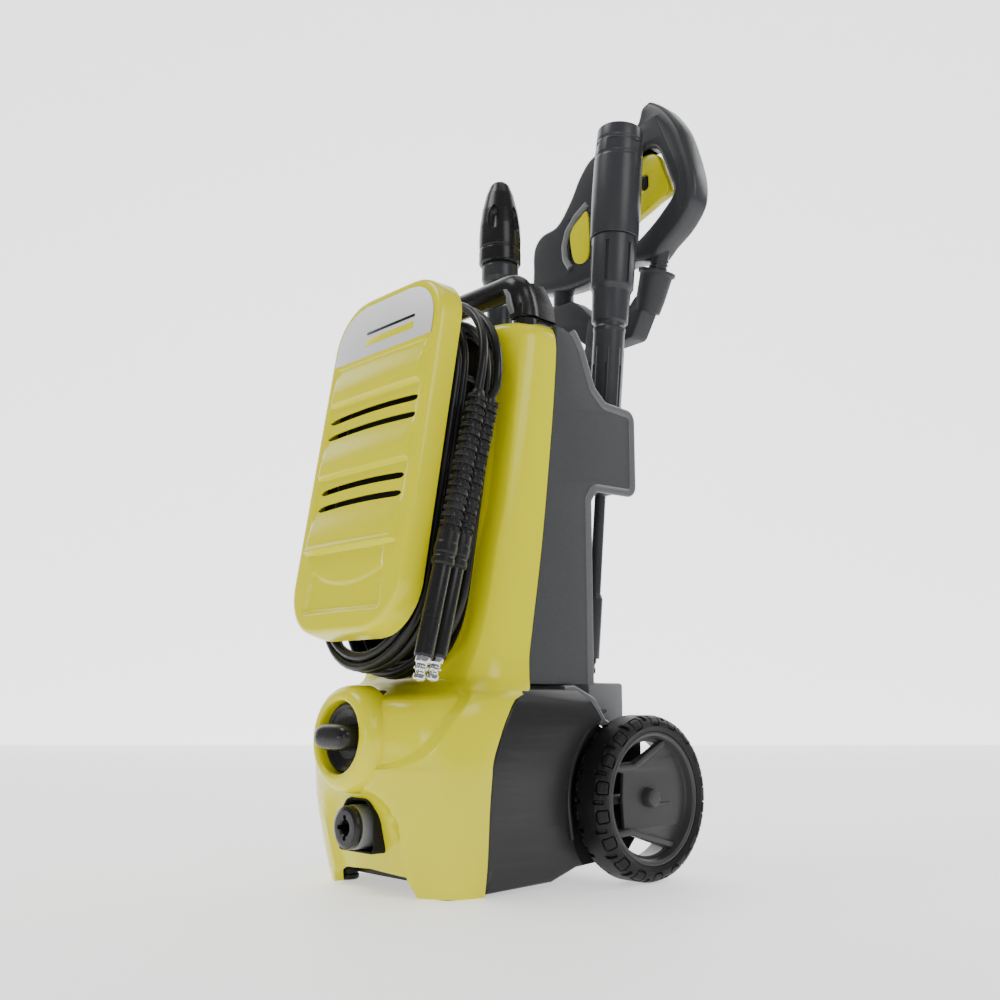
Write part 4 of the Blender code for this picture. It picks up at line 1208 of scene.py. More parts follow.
@dataclass(frozen=True)
class Hose:
    """High-pressure hose: folded at its middle, wound double behind the panel, plug ends side by side."""

    diameter: float = 0.0094
    half_x: float = 0.0867
    straight: float = 0.1013
    near: float = -0.0333
    pitch: float = 0.0095
    start_up: float = 0.08
    turns: int = 3
    points_a_turn: int = 84
    top: Vector = Vector((0.1115, -0.1212, 0.4707))
    axis: Vector = Vector((0, -0.241, -0.9705)).normalized()
    step: Vector = Vector((-0.008, 0.0216, 0))

    def loop(self, fraction: float, half: float) -> tuple[float, float]:
        """Across and up on the stadium, a fraction of a turn on from the right side.

        Args:
            fraction: turns gone.
            half: half width.

        Returns:
            Across and up.
        """
        arc = pi * self.half_x
        lengths = [self.straight - self.start_up, arc, 2 * self.straight, arc, self.straight + self.start_up]
        s = (fraction % 1.0) * sum(lengths)
        if s < lengths[0]:
            return half, self.start_up + s
        s -= lengths[0]
        if s < arc:
            return half * cos(s / self.half_x), self.straight + half * sin(s / self.half_x)
        s -= arc
        if s < lengths[2]:
            return -half, self.straight - s
        s -= lengths[2]
        if s < arc:
            return -half * cos(s / self.half_x), -self.straight - half * sin(s / self.half_x)
        return half, -self.straight + s - arc

    def strand(self, first_slot: float, end_out: float, towards: int) -> list[Vector]:
        """One half of the hose, from its plug end into the winding.

        Args:
            first_slot: slot that the strand starts in.
            end_out: distance out at its plug end.
            towards: 1 to wind inwards, -1 outwards.

        Returns:
            The points in order.
        """
        line = []
        for k in range(self.turns * self.points_a_turn + 1):
            turn = k / self.points_a_turn
            slot = first_slot + towards * min(turn, self.turns - 1)
            out = self.near - self.pitch * slot
            out += (end_out - out) * (1 - smooth(turn, 0.0, 0.13))
            half = self.half_x + (self.top.x - self.half_x) * (1 - smooth(turn, 0.02, 0.26))
            half -= self.pitch * smooth(turn, self.turns - 1, self.turns - 0.82)
            wobble = 0.0006 * sin(9.1 * turn + first_slot * 2.3) * smooth(turn, 0.1, 0.4)
            x, up = self.loop(turn, half)
            line.append(on_panel(x, up, out + wobble))
        return line

    def path(self) -> list[Vector]:
        """Centreline from the inner plug end to the outer one.

        Returns:
            The points in order.
        """
        ends = [(end - PANEL_POINT).dot(PANEL_OUT) for end in (self.top, self.top + self.step)]
        first = self.strand(2, ends[0], -1)
        second = self.strand(3, ends[1], 1)
        low, high = first[-1], second[-1]
        middle, reach = (low + high) / 2, (low - high).length / 2
        away = (low - high).normalized()
        fold = [
            middle + away * reach * cos(a) + PANEL_UP * reach * sin(a)
            for a in (pi * k / 20 for k in range(1, 20))]
        lead = [self.top + self.axis * s for s in (0.012, 0.006)]
        tail = [self.top + self.step + self.axis * s for s in (0.006, 0.012)]
        return lead + first[1:] + fold + list(reversed(second[1:])) + tail

    def sleeve(self, name: str, shift: Vector) -> list[Object]:
        """Strain relief with staggered ribs, collar, grip sleeve and chrome plug.

        Args:
            name: name of what is made.
            shift: offset from the first plug end.

        Returns:
            Its three pieces.
        """
        start = self.top + shift
        down = self.axis
        core = lathe(
            name + "_core", [(0, 0.0), (0.0062, 0.0), (0.007, 0.004), (0.0074, 0.15), (0, 0.15)], start, down,
            32)
        place = aim(start, down)
        ribs = [
            repeated(self.rib(0.006, 0.0043, 0.0103), 19, (0, 0, 0.0076), pi / 2),
            repeated(self.spine(), 4, (0, 0, 0), pi / 2)]
        for rib in ribs:
            rib.transform(place)
        collar = lathe(
            name + "_collar", [(0, 0.146), (0.0103, 0.146), (0.0103, 0.156), (0.0109, 0.158), (0.0109, 0.166),
            (0.0101, 0.1675), (0.0101, 0.17), (0.0109, 0.1715), (0.0109, 0.1765), (0.0092, 0.1785),
            (0, 0.1785)], start, down, 40)
        grip = lathe(
            name + "_grip", [(0, 0.178), (0.0088, 0.178), (0.009, 0.2615), (0.0082, 0.264), (0, 0.264)], start,
            down, 40)
        plug = lathe(
            name + "_plug", [(0, 0.262), (0.0068, 0.262), (0.0068, 0.2685), (0.0052, 0.27), (0.0052, 0.2722),
            (0.0066, 0.2734), (0.0066, 0.2752), (0.0044, 0.2766), (0.0044, 0.2782), (0.0056, 0.2796),
            (0.0056, 0.2835), (0.0046, 0.2848), (0.0022, 0.2848), (0.0022, 0.278), (0, 0.278)], start, down,
            40, 0.0003)
        body = merge(name, [core, *ribs, collar])
        parts = [
            piece(name, body, Finish.RUBBER, Body.MACHINE, name.replace("plug_end", "hose_end")),
            piece(name + "_grip", grip, Finish.BLACK, Body.MACHINE, slot="rubber"),
            piece(name + "_chrome", plug, Finish.CHROME, Body.MACHINE, slot="steel")]
        return parts

    def rib(self, low: float, height: float, radius: float) -> Mesh:
        """One rib about the Z axis: a ring with two gaps.

        Args:
            low: lower end or corner.
            height: height of the rib.
            radius: radius in metres.

        Returns:
            The mesh.
        """
        rings = []
        for k in range(33):
            angle = tau * k / 32
            r = radius - 0.0022 * smooth(abs(cos(angle)), 0.82, 0.93)
            rings.append(
                [Vector((q * cos(angle), q * sin(angle), h)) for q,
                h in ((0.006, low), (r - 0.0006, low), (r, low + 0.0006), (r, low + height - 0.0006),
                (r - 0.0006, low + height), (0.006, low + height))])
        return loft(rings, "rib", caps=False)

    def spine(self) -> Mesh:
        """A lengthwise web between the ribs."""
        reach = 0.0074 * sqrt(0.5)
        return tube("spine", [Vector((reach, reach, h)) for h in (0.006, 0.078, 0.15)], 0.0013, 8)

    def build(self) -> None:
        """Place the hose, its two ends and a near-black sheet of painted shade behind the turns."""
        # Near-black sheet behind the hose turns: painted shade of the winding's inside.
        plate = oblong((-0.086, -0.187), (0.086, 0.187), 0.08, 12)
        piece(
            "drum_plate", curve_part("drum_plate", [plate], 0.0016, panel_place(-0.0866), 0.0005),
            Finish.SHADOW, Body.MACHINE, slot="dark_shell")
        path = self.path()
        length = sum((b - a).length for a, b in zip(path, path[1:]))
        log.info("hose length %.3f m", length)
        mesh = tube("hose", path, self.diameter / 2, 14)
        hose = piece("hose", mesh, Finish.HOSE, Body.MACHINE, "hose_coil", sharp=60)
        parts = self.sleeve("plug_end_inner", Vector((0, 0, 0))) + self.sleeve("plug_end_outer", self.step)
        tuple(path[0])
        [tuple(p) for p in path]


def sliced(mesh: Mesh, normal: Point, at: Sequence[float]) -> Mesh:
    """Cut extra edge loops across a mesh where planes meet it.

    Args:
        mesh: the mesh.
        normal: normal of the planes.
        at: distance of each plane.

    Returns:
        The mesh.
    """
    bm = bmesh.new()
    bm.from_mesh(mesh)
    for value in at:
        bmesh.ops.bisect_plane(
            bm, geom=bm.verts[:] + bm.edges[:] + bm.faces[:], dist=0.000001, plane_co=Vector(normal) * value,
            plane_no=normal)
    bm.to_mesh(mesh)
    bm.free()
    return mesh


def reshaped(mesh: Mesh, move: Callable[[Vector], Vector]) -> Mesh:
    """Move every point of a mesh.

    Args:
        mesh: the mesh.
        move: gives a point's new place.

    Returns:
        The mesh.
    """
    for vertex in mesh.vertices:
        vertex.co = move(vertex.co.copy())
    return mesh


def both_sides(make: Callable[[int], Mesh], name: str) -> Mesh:
    """Make a shape for the right and the left side."""
    return merge(name, [make(1), make(-1)])


@dataclass(frozen=True)
class RearShell:
    """Dark textured rear housing with two side wings and their lighter rims."""

    side: float = 0.1015

    def back_line(self) -> Outline:
        """Rear edge of a wing in side view, from the top down.

        Returns:
            The outline's points.
        """
        return rounded(
            [(0.006, 0.566), (0.02, 0.56, 0.01), (0.03, 0.545, 0.014), (0.046, 0.505, 0.02),
            (0.066, 0.488, 0.016), (0.108, 0.485, 0.005), (0.108, 0.404, 0.005), (0.048, 0.403, 0.016),
            (0.037, 0.386, 0.012), (0.037, 0.1925)], 0.0, 6, closed=False)

    def mesh(self) -> Mesh:
        """Side outline pushed across, hollowed from the front and from behind.

        Returns:
            The mesh.
        """
        seam = [(float(SEAM(z)[0]) + 0.0006, z) for z in np.linspace(0.1925, 0.566, 30)]
        body = curve_part("rear_body", [seam + self.back_line()], 2 * self.side, SIDE_PLANE, 0.0016)
        inner = [(-0.1, 0.15), (0.0325, 0.15), (0.0325, 0.522), (0.024, 0.546), (0.012, 0.5575), (-0.1, 0.5625)]
        recess = [(0.0365, 0.15), (0.2, 0.15), (0.2, 0.6), (0.0365, 0.6)]
        return carved(
            body, [curve_part("inner", [inner], 2 * self.side - 0.006, SIDE_PLANE, SHARP),
            curve_part("recess", [recess], 2 * self.side - 0.009, SIDE_PLANE, SHARP)])

    def rim(self, side: int) -> Mesh:
        """Raised band along a wing's rear edge, with a wide outer bevel.

        Args:
            side: 1 for right, -1 for left.

        Returns:
            The mesh.
        """
        line = [Vector(p) for p in self.back_line()][2:]
        rings = []
        for i, here in enumerate(line):
            along = (line[min(i + 1, len(line) - 1)] - line[max(i - 1, 0)]).normalized()
            inward = Vector((along.y, -along.x))
            widths = (
                (0.0001, 0.0925), (-0.0006, 0.0965), (-0.0006, 0.1012), (0.0012, 0.1023), (0.0062, 0.1028),
                (0.0078, 0.1022), (0.0084, 0.1005), (0.004, 0.0925))
            rings.append([Vector((side * x, here.x - inward.x * w, here.y - inward.y * w)) for w, x in widths])
        return loft(rings, "rim")

    def build(self) -> None:
        """Place the housing and its rims."""
        piece("rear_housing", self.mesh(), Finish.DARK, Body.MACHINE, "rear_shell", sharp=30)
        piece(
            "rear_rims", both_sides(self.rim, "rims"), Finish.RIM_GREY, Body.MACHINE, slot="grey_plastic",
            sharp=50)


@dataclass(frozen=True)
class BaseShell:
    """Black base with a rounded shoulder, flared sides and wheel arches."""

    half: float = 0.118

    def mesh(self) -> Mesh:
        """Side outline pushed across, flared by height, with the arches cut.

        Returns:
            The mesh.
        """
        seam = [(float(SEAM(z)[0]) + 0.0007, z) for z in np.linspace(0.003, 0.177, 26)]
        back = rounded(
            [(-0.066, 0.1886, 0.004), (0.011, 0.1886, 0.006), (0.0285, 0.178, 0.006), (0.042, 0.157, 0.006),
            (0.052, 0.15, 0.004), (0.112, 0.146, 0.006), (0.112, 0.05, 0.01), (0.085, 0.022, 0.01),
            (0.011, 0.017, 0.004), (-0.02, 0.006, 0.004), (-0.104, 0.0032, 0.002)], 0.0, 5)
        body = curve_part("base_body", [seam + back], 2 * self.half, SIDE_PLANE, 0.0028)
        body = sliced(body, (0, 0, 1), [k * 0.008 for k in range(1, 24)])
        flare = Curve1D(
            (0, 0.1035), (0.03, 0.1098), (0.08, 0.1158), (0.115, self.half), (0.15, self.half),
            (0.168, 0.1166), (0.178, 0.114), (0.19, 0.1085))
        body = reshaped(body, lambda p: Vector((p.x * float(flare(p.z)[0]) / self.half, p.y, p.z)))
        inner = [
            (-0.15, 0.006), (0.01, 0.02), (0.084, 0.025), (0.1085, 0.052), (0.1085, 0.1425), (0.05, 0.1465),
            (0.038, 0.155), (0.025, 0.1755), (0.01, 0.1855), (-0.15, 0.1855)]
        cutters = [
            curve_part("inner", [inner], 0.2, SIDE_PLANE, SHARP),
            block("roof", (-0.09, -0.15, 0.17), (0.09, 0.0185, 0.2), 0),
            lathe("gland", [(0, -0.02), (0.0143, -0.02), (0.0143, 0.02), (0, 0.02)], (0.045, 0.11, 0.118),
            (0, 1, 0))]
        for side in (-1, 1):
            cutters.append(
                lathe("arch", [(0, 0.1045), (0.085, 0.1045), (0.0875, 0.1075), (0.0875, 0.14), (0, 0.14)],
                AXLE, (side, 0, 0), 96, 0.0))
        return carved(body, cutters)

    def strip(self, side: int) -> Mesh:
        """Lighter grey strip over the shoulder's rear corner, down to the wheel: a painted highlight along the
        shoulder edge.

        Args:
            side: 1 for right, -1 for left.

        Returns:
            The mesh.
        """
        line = rounded(
            [(-0.004, 0.188), (0.011, 0.1886, 0.008), (0.03, 0.177, 0.008), (0.043, 0.156, 0.006),
            (0.05, 0.1525)], 0.0, 5, closed=False)
        points = [Vector((side * (0.1045 + 0.0095 * smooth(0.19 - z, 0.0, 0.02)), y, z)) for y, z in line]
        return tube("strip", points, 0.0042, 12)

    def flange(self, side: int) -> Mesh:
        """Rounded lip round the front of a wheel arch.

        Args:
            side: 1 for right, -1 for left.

        Returns:
            The mesh.
        """
        rings = []
        for k in range(49):
            angle = radians(108 + 96 * k / 48)
            out = Vector((0, cos(angle), sin(angle)))
            x = 0.1168 - 0.0075 * smooth(abs(angle - 2.85), 0.45, 1.05)
            rings.append(
                [Vector((side * (x + dx), 0, 0)) + AXLE + out * (0.088 + dr) for dx,
                dr in ((-0.01, 0.0), (0.0012, 0.0), (0.0022, 0.0008), (0.0022, 0.0026), (0.0012, 0.0036),
                (-0.01, 0.0036))])
        return loft(rings, "flange")

    def build(self) -> None:
        """Place the base."""
        piece("base_housing", self.mesh(), Finish.BASE_BLACK, Body.MACHINE, "base_shell", sharp=30)
        blocks = [block("ledge", (-0.084, 0.0565, 0.1515), (0.084, 0.1095, 0.1955), 0.003)]
        shelf = carved(
            blocks[0], [lathe("socket", [(0, 0.186), (0.012, 0.186), (0.012, 0.21), (0, 0.21)],
            (0.0509, 0.0938, 0), (0, 0, 1)), lathe("socket",
            [(0, 0.186), (0.0085, 0.186), (0.0085, 0.21), (0, 0.21)], (-0.07, 0.07, 0), (0, 0, 1))])
        piece(
            "arch_flanges", both_sides(self.flange, "flanges"), Finish.BASE_BLACK, Body.MACHINE,
            slot="black_plastic")
        # Lighter grey strips along the base's shoulder edges: painted highlight.
        piece(
            "fender_strips", both_sides(self.strip, "fender"), Finish.RIM_GREY, Body.MACHINE,
            slot="grey_plastic")
        piece("lance_ledge", shelf, Finish.GREY, Body.MACHINE, "lance_rest")


@dataclass(frozen=True)
class Wheels:
    """Two wheels: tyre with U-shaped shoulder grooves, and a disc with beams and windows."""

    radius: float = 0.0813
    lugs: int = 18

    def tyre(self, side: int) -> Mesh:
        """Tyre ring with moulded grooves.

        Args:
            side: 1 for right, -1 for left.

        Returns:
            The mesh.
        """
        corners = [
            (0.0655, 0.15, 0.001), (0.07, 0.1522, 0.002), (0.0745, 0.152, 0.003), (0.079, 0.149, 0.004),
            (0.0812, 0.143, 0.004), (0.0813, 0.12, 0.004), (0.079, 0.114, 0.004), (0.0735, 0.1105, 0.003),
            (0.0655, 0.112, 0.001)]
        line = [Vector(p) for p in rounded(corners, 0.002, 4, closed=False)]
        dense = [line[0]]
        for a, b in zip(line, line[1:]):
            pieces = max(1, round((b - a).length / 0.0009))
            dense += [a.lerp(b, k / pieces) for k in range(1, pieces + 1)]
        travel = [0.0]
        for a, b in zip(dense, dense[1:]):
            travel.append(travel[-1] + (b - a).length)
        steps = 648
        pitch = tau * self.radius / self.lugs
        total = travel[-1]
        rings = []
        for k in range(steps):
            angle = tau * k / steps
            along = (angle / (tau) * self.lugs) % 1.0 - 0.5
            ring = []
            for point, s in zip(dense, travel):
                depth = 0.0019 * self.groove(along * pitch, s, total)
                outward = Vector((max(0.0, point.x - 0.07), (point.y - 0.131) * 0.25)).normalized()
                p = point - outward * depth
                ring.append(Vector((side * p.y, AXLE.y + p.x * cos(angle), AXLE.z + p.x * sin(angle))))
            rings.append(ring)
        rings.append(rings[0])
        return loft(rings, "tyre", closed=True, caps=False)

    def groove(self, across: float, s: float, total: float) -> float:
        """Depth from 0 to 1 of the U-shaped grooves of one lug on each shoulder, and of the notches between.

        Args:
            across: distance across the lug.
            s: distance along the profile.
            total: length of the profile.

        Returns:
            The depth.
        """
        depth = 0.0
        for travelled in (s, total - s):
            dx, dy = abs(across) - 0.0035, abs(travelled - 0.0135) - 0.004
            outline = hypot(max(dx, 0.0), max(dy, 0.0)) + min(max(dx, dy), 0.0) - 0.0028
            if travelled < 0.0215:
                depth = max(depth, 1 - smooth(abs(outline), 0.0003, 0.0009))
            edge = abs(abs(across) - 0.0142)
            if 0.012 < travelled < 0.025:
                depth = max(depth, 1.5 * (1 - smooth(edge, 0.0014, 0.0024)))
        return depth

    def disc(self, side: int) -> Mesh:
        """Rim with its lip, plate with windows, beams and hub.

        Args:
            side: 1 for right, -1 for left.

        Returns:
            The mesh.
        """
        out = (side, 0, 0)
        edge = 0.0652
        rim = lathe(
            "rim", [(edge, 0.113), (0.0605, 0.113), (0.059, 0.133), (0.0575, 0.136), (0.0575, 0.1392),
            (0.059, 0.142), (0.0605, 0.1485), (0.063, 0.15), (edge, 0.1498)], AXLE, out, 120, 0.0008, ring=True)
        face = [(0.0592 * cos(a), 0.0592 * sin(a)) for a in (tau * k / 96 for k in range(96))]

        def arc(first: float, last: float, r: float = 0.056) -> Outline:
            """Points on an arc between two angles in degrees."""
            angles = (radians(first + (last - first) * k / 14) for k in range(15))
            return [(r * cos(a), r * sin(a)) for a in angles]

        top = rounded([*arc(150, 69), (-0.02, 0.035, 0.004), (-0.048, 0.0335, 0.003)], 0.0, 3)
        low = rounded([*arc(-150, -64), (-0.026, -0.035, 0.004), (-0.048, -0.038, 0.003)], 0.0, 3)
        left = rounded(
            [(-0.0355, 0.0255, 0.002), (-0.049, 0.0255, 0.002), *arc(153, 207, 0.0565),
            (-0.049, -0.0285, 0.002), (-0.0355, -0.0285, 0.002), (-0.0375, 0.0, 0.02)], 0.0, 3)
        plane = Matrix.Translation((side * 0.138, AXLE.y, AXLE.z)) @ SIDE_PLANE
        plate = curve_part("plate", [face, top, low, left], 0.0042, plane, 0.0008)
        beams = []
        for line in (
                ((-0.059, 0.0298), (-0.024, 0.0302), (0.0235, 0.054)),
                ((-0.059, -0.033), (-0.029, -0.0312), (0.033, -0.048))):
            beams.append(self.beam(line, side * 0.1405, 0.0062, 0.0078))
        hub = lathe(
            "hub", [(0.0063, 0.1125), (0.0125, 0.1125), (0.015, 0.117), (0.015, 0.1365), (0.0063, 0.1365)],
            AXLE, out, 48, 0.0006, ring=True)
        ribs = [
            tube("rib", [AXLE + Vector((side * 0.13, r * cos(a), r * sin(a))) for r in (0.014, 0.0585)],
            0.0016, 8, 4.0) for a in (0, 0.35, -0.35, 0.9, -0.9, 3.14)]
        raised = oblong((-0.004, -0.0085), (0.036, -0.006), 0.0008)
        mark = curve_part(
            "mark", [raised], 0.0016, Matrix.Translation((side * 0.1403, AXLE.y, AXLE.z)) @ SIDE_PLANE, 0.0003)
        cap = lathe(
            "cap", [(0, 0.151), (0.006, 0.1508), (0.0084, 0.1496), (0.0094, 0.147), (0.0098, 0.139),
            (0, 0.139)], AXLE, out, 48, 0.0008)
        return merge("disc", [rim, plate, *beams, hub, *ribs, mark, cap])

    def beam(self, line: Sequence[Point], x: float, width: float, deep: float) -> Mesh:
        """A bent rectangular beam in the wheel's plane.

        Args:
            line: corners of its centreline.
            x: place across.
            width: its width.
            deep: its thickness.

        Returns:
            The mesh.
        """
        path = [Vector(p) for p in rounded([(*p, 0.01) for p in line], 0.01, 5, closed=False)]
        left, right = [], []
        for i, here in enumerate(path):
            along = (path[min(i + 1, len(path) - 1)] - path[max(i - 1, 0)]).normalized()
            normal = Vector((-along.y, along.x)) * width / 2
            left.append(here + normal)
            right.append(here - normal)
        outline = [tuple(p) for p in left] + [tuple(p) for p in reversed(right)]
        return curve_part("beam", [outline], deep, Matrix.Translation((x, AXLE.y, AXLE.z)) @ SIDE_PLANE, 0.001)

    def build(self) -> None:
        """Place both wheels."""
        for side, name, body in ((1, "right", Body.WHEEL_RIGHT), (-1, "left", Body.WHEEL_LEFT)):
            piece(f"tyre_tread_{name}", self.tyre(side), Finish.TYRE, body, f"tyre_{name}", sharp=50)
            piece(f"wheel_disc_{name}", self.disc(side), Finish.RIM, body, f"wheel_rim_{name}")


@dataclass(frozen=True)
class Controls:
    """Rotary switch in its egg-shaped bezel, and the high-pressure outlet."""

    knob_radius: float = 0.033

    def bezel(self) -> Mesh:
        """Ring round the knob that swells out of the housing.

        Returns:
            The mesh.
        """
        place = aim(KNOB_POINT, KNOB_AXIS)
        turn = place.to_3x3()
        up = turn.inverted() @ Vector((0, 0, 1))
        rings = []
        profile = [
            (0.0336, -0.026), (0.0336, -0.002), (0.0341, 0.0012), (0.0356, 0.003), (0.0378, 0.0035),
            (0.0405, 0.0028), (0.0438, 0.0004), (0.0462, -0.0035), (0.0476, -0.0085), (0.0484, -0.015),
            (0.0488, -0.026)]
        for k in range(96):
            angle = tau * k / 96
            spot = Vector((cos(angle), sin(angle), 0))
            high = spot.dot(up)
            ring = []
            for radius, height in profile:
                outer = smooth(radius, 0.038, 0.0488)
                grow = 1 + outer * (0.06 * max(0, -high) ** 2 + 0.03 * max(0.0, high) ** 2)
                ring.append(place @ (spot * radius * grow + Vector((0, 0, height))))
            rings.append(ring)
        rings.append(rings[0])
        return loft(rings, "bezel", closed=True, caps=False)

    def knob(self) -> Mesh:
        """Dished disc with a wing grip across it.

        Returns:
            The mesh.
        """
        dish = lathe(
            "dish", [(0, -0.0095), (0.02, -0.0105), (0.0265, -0.0075), (0.03, -0.005), (0.0326, -0.0062),
            (0.0328, -0.023), (0, -0.023)], KNOB_POINT, KNOB_AXIS, 96, 0.0012)
        rows = (
            (-0.0105, 0.0275, 0.0126), (0.006, 0.0272, 0.0124), (0.0095, 0.0266, 0.0118),
            (0.012, 0.0252, 0.0104), (0.0136, 0.0226, 0.008), (0.0142, 0.018, 0.0045))
        up = KNOB_AXIS.cross(Vector((1, 0, 0))).normalized()
        rings = []
        for reach, half_x, half_z in rows:
            angles = (tau * k / 40 for k in range(40))
            rings.append(
                [KNOB_POINT + KNOB_AXIS * reach
                + Vector((copysign(abs(cos(a)) ** 0.62, cos(a)) * half_x, 0, 0))
                + up * copysign(abs(sin(a)) ** 0.8, sin(a)) * half_z for a in angles])
        wing = loft(rings, "wing")
        tilt = Matrix.Rotation(radians(-3), 4, "X")
        line = curve_part(
            "line", [oblong((0.018, -0.0009), (0.0255, 0.0009), 0.0004)], 0.0016,
            Matrix.Translation(KNOB_POINT + KNOB_AXIS * 0.0142) @ tilt @ FRONT_PLANE, 0.0002)
        return merge("knob", [dish, wing, line])

    def outlet(self) -> None:
        """Socket with its keyed hole, grey release collar and the recess behind, coloured near black as painted
        shade.
        """
        start = Vector((0, -0.168, 0.06))
        out = (0, -1, 0)
        socket = lathe(
            "socket", [(0, -0.01), (0.0072, -0.01), (0.0072, 0.019), (0.0085, 0.0203), (0.016, 0.0203),
            (0.0195, 0.019), (0.02, 0.0165), (0.02, 0.014), (0.015, 0.0132), (0.015, -0.022), (0.013, -0.024),
            (0.013, -0.046), (0, -0.046)], start, out, 72, 0.0005)
        keys = [
            block("key", (-0.0022, -0.1915, 0.06 - 0.0115), (0.0022, -0.17, 0.06 + 0.0115), 0),
            block("key", (-0.0115, -0.1915, 0.0578), (0, -0.17, 0.0622), 0)]
        piece("outlet_coupling", carved(socket, keys), Finish.BLACK, Body.MACHINE, "outlet_socket")
        widest = 0.0204
        collar = lathe(
            "collar", [(0.0153, 0.0128), (0.0198, 0.0128), (widest, 0.012), (widest, -0.005), (0.0198, -0.006),
            (0.0153, -0.006)], start, out, 72, 0.0004, ring=True)
        piece("outlet_collar_ring", collar, Finish.GREY, Body.COLLAR, "outlet_release")
        walls = rounded(
            [(-0.0288, 0.0372), (0.0288, 0.0372), (0.0288, 0.07, 0.02), (0.0165, 0.0862, 0.012),
            (-0.0165, 0.0862, 0.012), (-0.0288, 0.07, 0.02)], 0.005, 4)
        inner = [(x * 0.93, 0.0617 + (z - 0.0617) * 0.93) for x, z in walls]
        tunnel = curve_part(
            "tunnel", [walls, inner], 0.034, Matrix.Translation((0, -0.1575, 0)) @ FRONT_PLANE, 0.0002)
        back = curve_part("back", [inner], 0.002, Matrix.Translation((0, -0.1415, 0)) @ FRONT_PLANE, 0.0002)
        # The recess walls and back are near black: painted shade inside the outlet hole.
        piece("outlet_tunnel", merge("tunnel", [tunnel, back]), Finish.SHADOW, Body.MACHINE, "outlet_recess")

    def build(self) -> None:
        """Place the controls."""
        piece("bezel_ring", self.bezel(), Finish.YELLOW, Body.MACHINE, "switch_bezel", sharp=60)
        piece("rotary_knob", self.knob(), Finish.BLACK, Body.SWITCH, "switch_knob")
        self.outlet()


@dataclass(frozen=True)
class Handle:
    """Bowed grip with boots over the legs and a light strip down the front of each."""

    leg_x: float = 0.0785
    leg_y: float = -0.028
    bar_y: float = -0.034
    bar_z: float = 0.61

    def bar(self) -> Mesh:
        """Oval grip that turns down into the legs.

        Returns:
            The mesh.
        """
        line = [
            (-self.leg_x, 0.574), (-self.leg_x, self.bar_z, 0.026), (self.leg_x, self.bar_z, 0.026),
            (self.leg_x, 0.574)]
        flat = rounded(line, 0.0, 12, closed=False)
        dense = []
        for (a, b), (c, d) in zip(flat, flat[1:]):
            pieces = max(1, int(hypot(c - a, d - b) / 0.006))
            dense += [(a + (c - a) * k / pieces, b + (d - b) * k / pieces) for k in range(pieces)]
        dense.append(flat[-1])
        shift = self.bar_y - self.leg_y
        path = [Vector((x, self.leg_y + shift * smooth(z, 0.575, 0.605), z)) for x, z in dense]
        return tube("bar", path, lambda t: 0.0142 + 0.0006 * cos(tau * t), 28)

    def strip(self, side: int) -> Mesh:
        """Light strip down the front of a leg and over its corner.

        Args:
            side: 1 for right, -1 for left.

        Returns:
            The mesh.
        """
        rings = []
        for k in range(17):
            t = k / 16
            z = 0.5722 + 0.04 * t
            x = side * (self.leg_x - 0.004 - 0.01 * smooth(t, 0.55, 1.0))
            y = self.leg_y - 0.0142 - 0.0066 * smooth(z, 0.575, 0.59)
            half = 0.0042 - 0.0012 * t
            tilt = smooth(t, 0.6, 1.0) * 0.003
            rings.append(
                [Vector((x + dx, y + dy + tilt, z)) for dx,
                dy in ((-half, 0.004), (-half, 0.0006), (-half + 0.001, -0.0004), (half - 0.001, -0.0004),
                (half, 0.0006), (half, 0.004))])
        return loft(rings, "strip")

    def boot(self, side: int) -> Mesh:
        """Rounded foot of the handle where it meets the housing.

        Args:
            side: 1 for right, -1 for left.

        Returns:
            The mesh.
        """
        outline = rounded(
            [(-0.043, 0.5722, 0.001), (-0.043, 0.586, 0.004), (-0.03, 0.612, 0.01), (-0.008, 0.613, 0.01),
            (0.006, 0.592, 0.008), (0.009, 0.5722, 0.001)], 0.0, 5)
        return curve_part(
            "boot", [outline], 0.021, Matrix.Translation((side * self.leg_x, 0, 0)) @ SIDE_PLANE, 0.0026)

    def build(self) -> None:
        """Place the handle."""
        grip = merge("grip", [self.bar(), self.boot(1), self.boot(-1)])
        piece("handle_grip", grip, Finish.BLACK, Body.HANDLE, "handle_bar")
        piece("handle_strips", both_sides(self.strip, "strips"), Finish.GREY, Body.HANDLE, slot="grey_plastic")


LANCE_TOP = Vector((0.0827, 0.1244, 0.8409))
LANCE_UP = Vector((0.0499, 0.048, 0.9976)).normalized()


